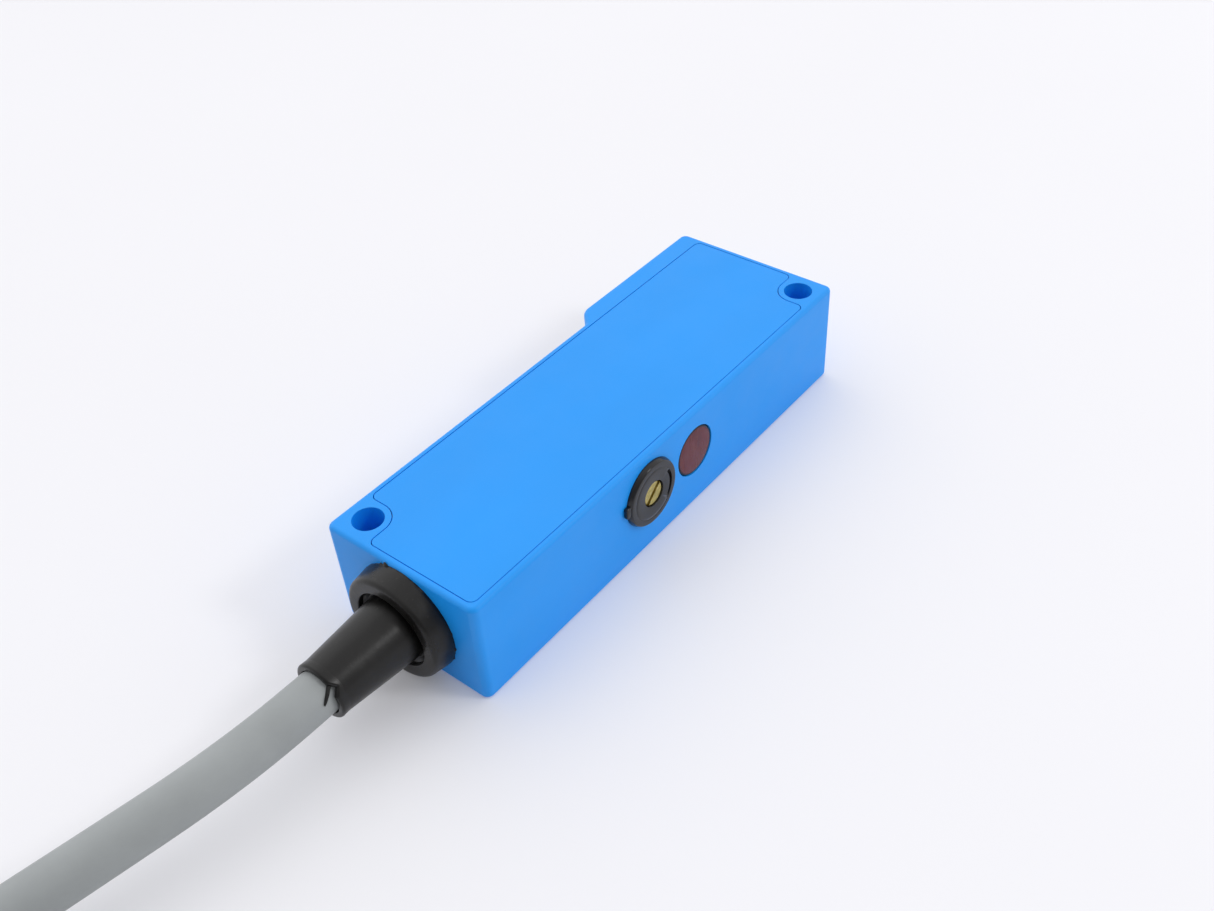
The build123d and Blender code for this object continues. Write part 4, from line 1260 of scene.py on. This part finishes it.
# Node, slot, darker tone, lighter tone, roughness
INNER_PLASTICS = (
    # The bond resin in the cover's seam is given dark navy tones. These are partly the resin's own colour and
    # partly painted shade in the seam
    ("cover_bond", "bond_resin", (0.003, 0.04, 0.15), (0.005, 0.07, 0.24), 0.45),
    ("window_gasket", "gasket_rubber", (0.010, 0.010, 0.010), (0.022, 0.022, 0.022), 0.6),
    ("optics_holder", "holder_black", (0.010, 0.010, 0.011), (0.020, 0.020, 0.021), 0.55),
    ("controller_chip", "chip_black", (0.012, 0.012, 0.013), (0.030, 0.030, 0.032), 0.5),
    ("output_transistor", "chip_black_2", (0.012, 0.012, 0.013), (0.030, 0.030, 0.032), 0.5),
    ("board_components", "chip_ceramic", (0.18, 0.13, 0.08), (0.30, 0.23, 0.15), 0.4),
    ("resin_bed", "bedding_resin", (0.020, 0.022, 0.024), (0.045, 0.047, 0.050), 0.35),
    ("potentiometer_body", "pot_thermoset", (0.020, 0.035, 0.090), (0.035, 0.055, 0.130), 0.45),
    ("potentiometer_track", "track_cermet", (0.030, 0.028, 0.026), (0.075, 0.070, 0.065), 0.35),
    ("potentiometer_wiper", "wiper_plastic", (0.62, 0.60, 0.54), (0.75, 0.73, 0.68), 0.4),
    ("receiver_photodiode", "diode_epoxy", (0.015, 0.012, 0.018), (0.040, 0.028, 0.045), 0.2),
)
INNER_CLEAR = (
    ("emitter_lens", "lens_clear", (0.90, 0.92, 0.93), (0.98, 0.98, 0.98), 0.03),
    ("receiver_lens", "lens_clear_2", (0.90, 0.92, 0.93), (0.98, 0.98, 0.98), 0.03),
    ("emitter_led", "led_epoxy", (0.80, 0.10, 0.08), (0.95, 0.18, 0.12), 0.08),
    ("light_guide", "guide_acrylic", (0.88, 0.90, 0.90), (0.97, 0.98, 0.98), 0.06),
    ("indicator_leds", "lamp_epoxy", (0.75, 0.20, 0.10), (0.90, 0.40, 0.15), 0.12),
)
INNER_METALS = (
    ("shield_can", "tinned_steel", (0.50, 0.50, 0.50), (0.72, 0.72, 0.71), 0.30),
    ("filter_capacitor", "capacitor_can", (0.55, 0.56, 0.58), (0.78, 0.79, 0.80), 0.28),
    ("board_link", "tinned_pins", (0.55, 0.53, 0.48), (0.80, 0.78, 0.74), 0.30),
    ("solder_posts", "tinned_pins_2", (0.55, 0.53, 0.48), (0.80, 0.78, 0.74), 0.30),
    ("crimp_sleeve", "crimp_brass", (0.55, 0.42, 0.18), (0.78, 0.64, 0.34), 0.32),
)


class SENSOR_OT_finish_inside(bpy.types.Operator):
    """Finish the boards, the optics and the other pieces inside the housing"""

    bl_idname = "sensor.finish_inside"
    bl_label = "Inside"

    def execute(self, context):
        laminate = board_laminate("board_laminate")
        repaint("main_board", laminate)
        repaint("optics_board", laminate)
        kinds = ((plain_finish, INNER_PLASTICS), (clear_moulding, INNER_CLEAR), (metal, INNER_METALS))
        for finish, rows in kinds:
            for name, label, dark, light, roughness in rows:
                repaint(name, finish(label, dark, light, roughness))
        return {"FINISHED"}


# ---- Panel and registration --------------------------------------------------

OPERATORS = (
    SENSOR_OT_set_stage,
    SENSOR_OT_finish_casing,
    SENSOR_OT_build_boot,
    SENSOR_OT_build_adjuster,
    SENSOR_OT_build_indicator,
    SENSOR_OT_lay_cable,
    SENSOR_OT_finish_inside,
)

SETTINGS = {
    "sensor_casing": CasingSettings,
    "sensor_fittings": FittingSettings,
    "sensor_cable": CableSettings,
    "sensor_stage": StageSettings,
}


class SENSOR_PT_build(bpy.types.Panel):
    """Sizes and colours of the sensor, and the steps that build it"""

    bl_label = "Proximity sensor"
    bl_idname = "SENSOR_PT_build"
    bl_space_type = "VIEW_3D"
    bl_region_type = "UI"
    bl_category = "Sensor"

    def draw(self, context):
        for group in SETTINGS:
            settings = getattr(context.scene, group)
            column = self.layout.box().column()
            for name in settings.bl_rna.properties.keys():
                if name not in ("rna_type", "name"):
                    column.prop(settings, name)
        for operator in OPERATORS:
            self.layout.operator(operator.bl_idname)


CLASSES = (*SETTINGS.values(), *OPERATORS, SENSOR_PT_build)


def register():
    for each in CLASSES:
        bpy.utils.register_class(each)
    for name, group in SETTINGS.items():
        setattr(bpy.types.Scene, name, bpy.props.PointerProperty(type=group))


def unregister():
    for name in SETTINGS:
        delattr(bpy.types.Scene, name)
    for each in reversed(CLASSES):
        bpy.utils.unregister_class(each)


def main():
    """Build everything."""
    register()
    bpy.ops.sensor.set_stage()
    bpy.ops.sensor.finish_casing()
    bpy.ops.sensor.build_boot()
    bpy.ops.sensor.build_adjuster()
    bpy.ops.sensor.build_indicator()
    bpy.ops.sensor.lay_cable()
    bpy.ops.sensor.finish_inside()


if __name__ == "__main__":
    main()
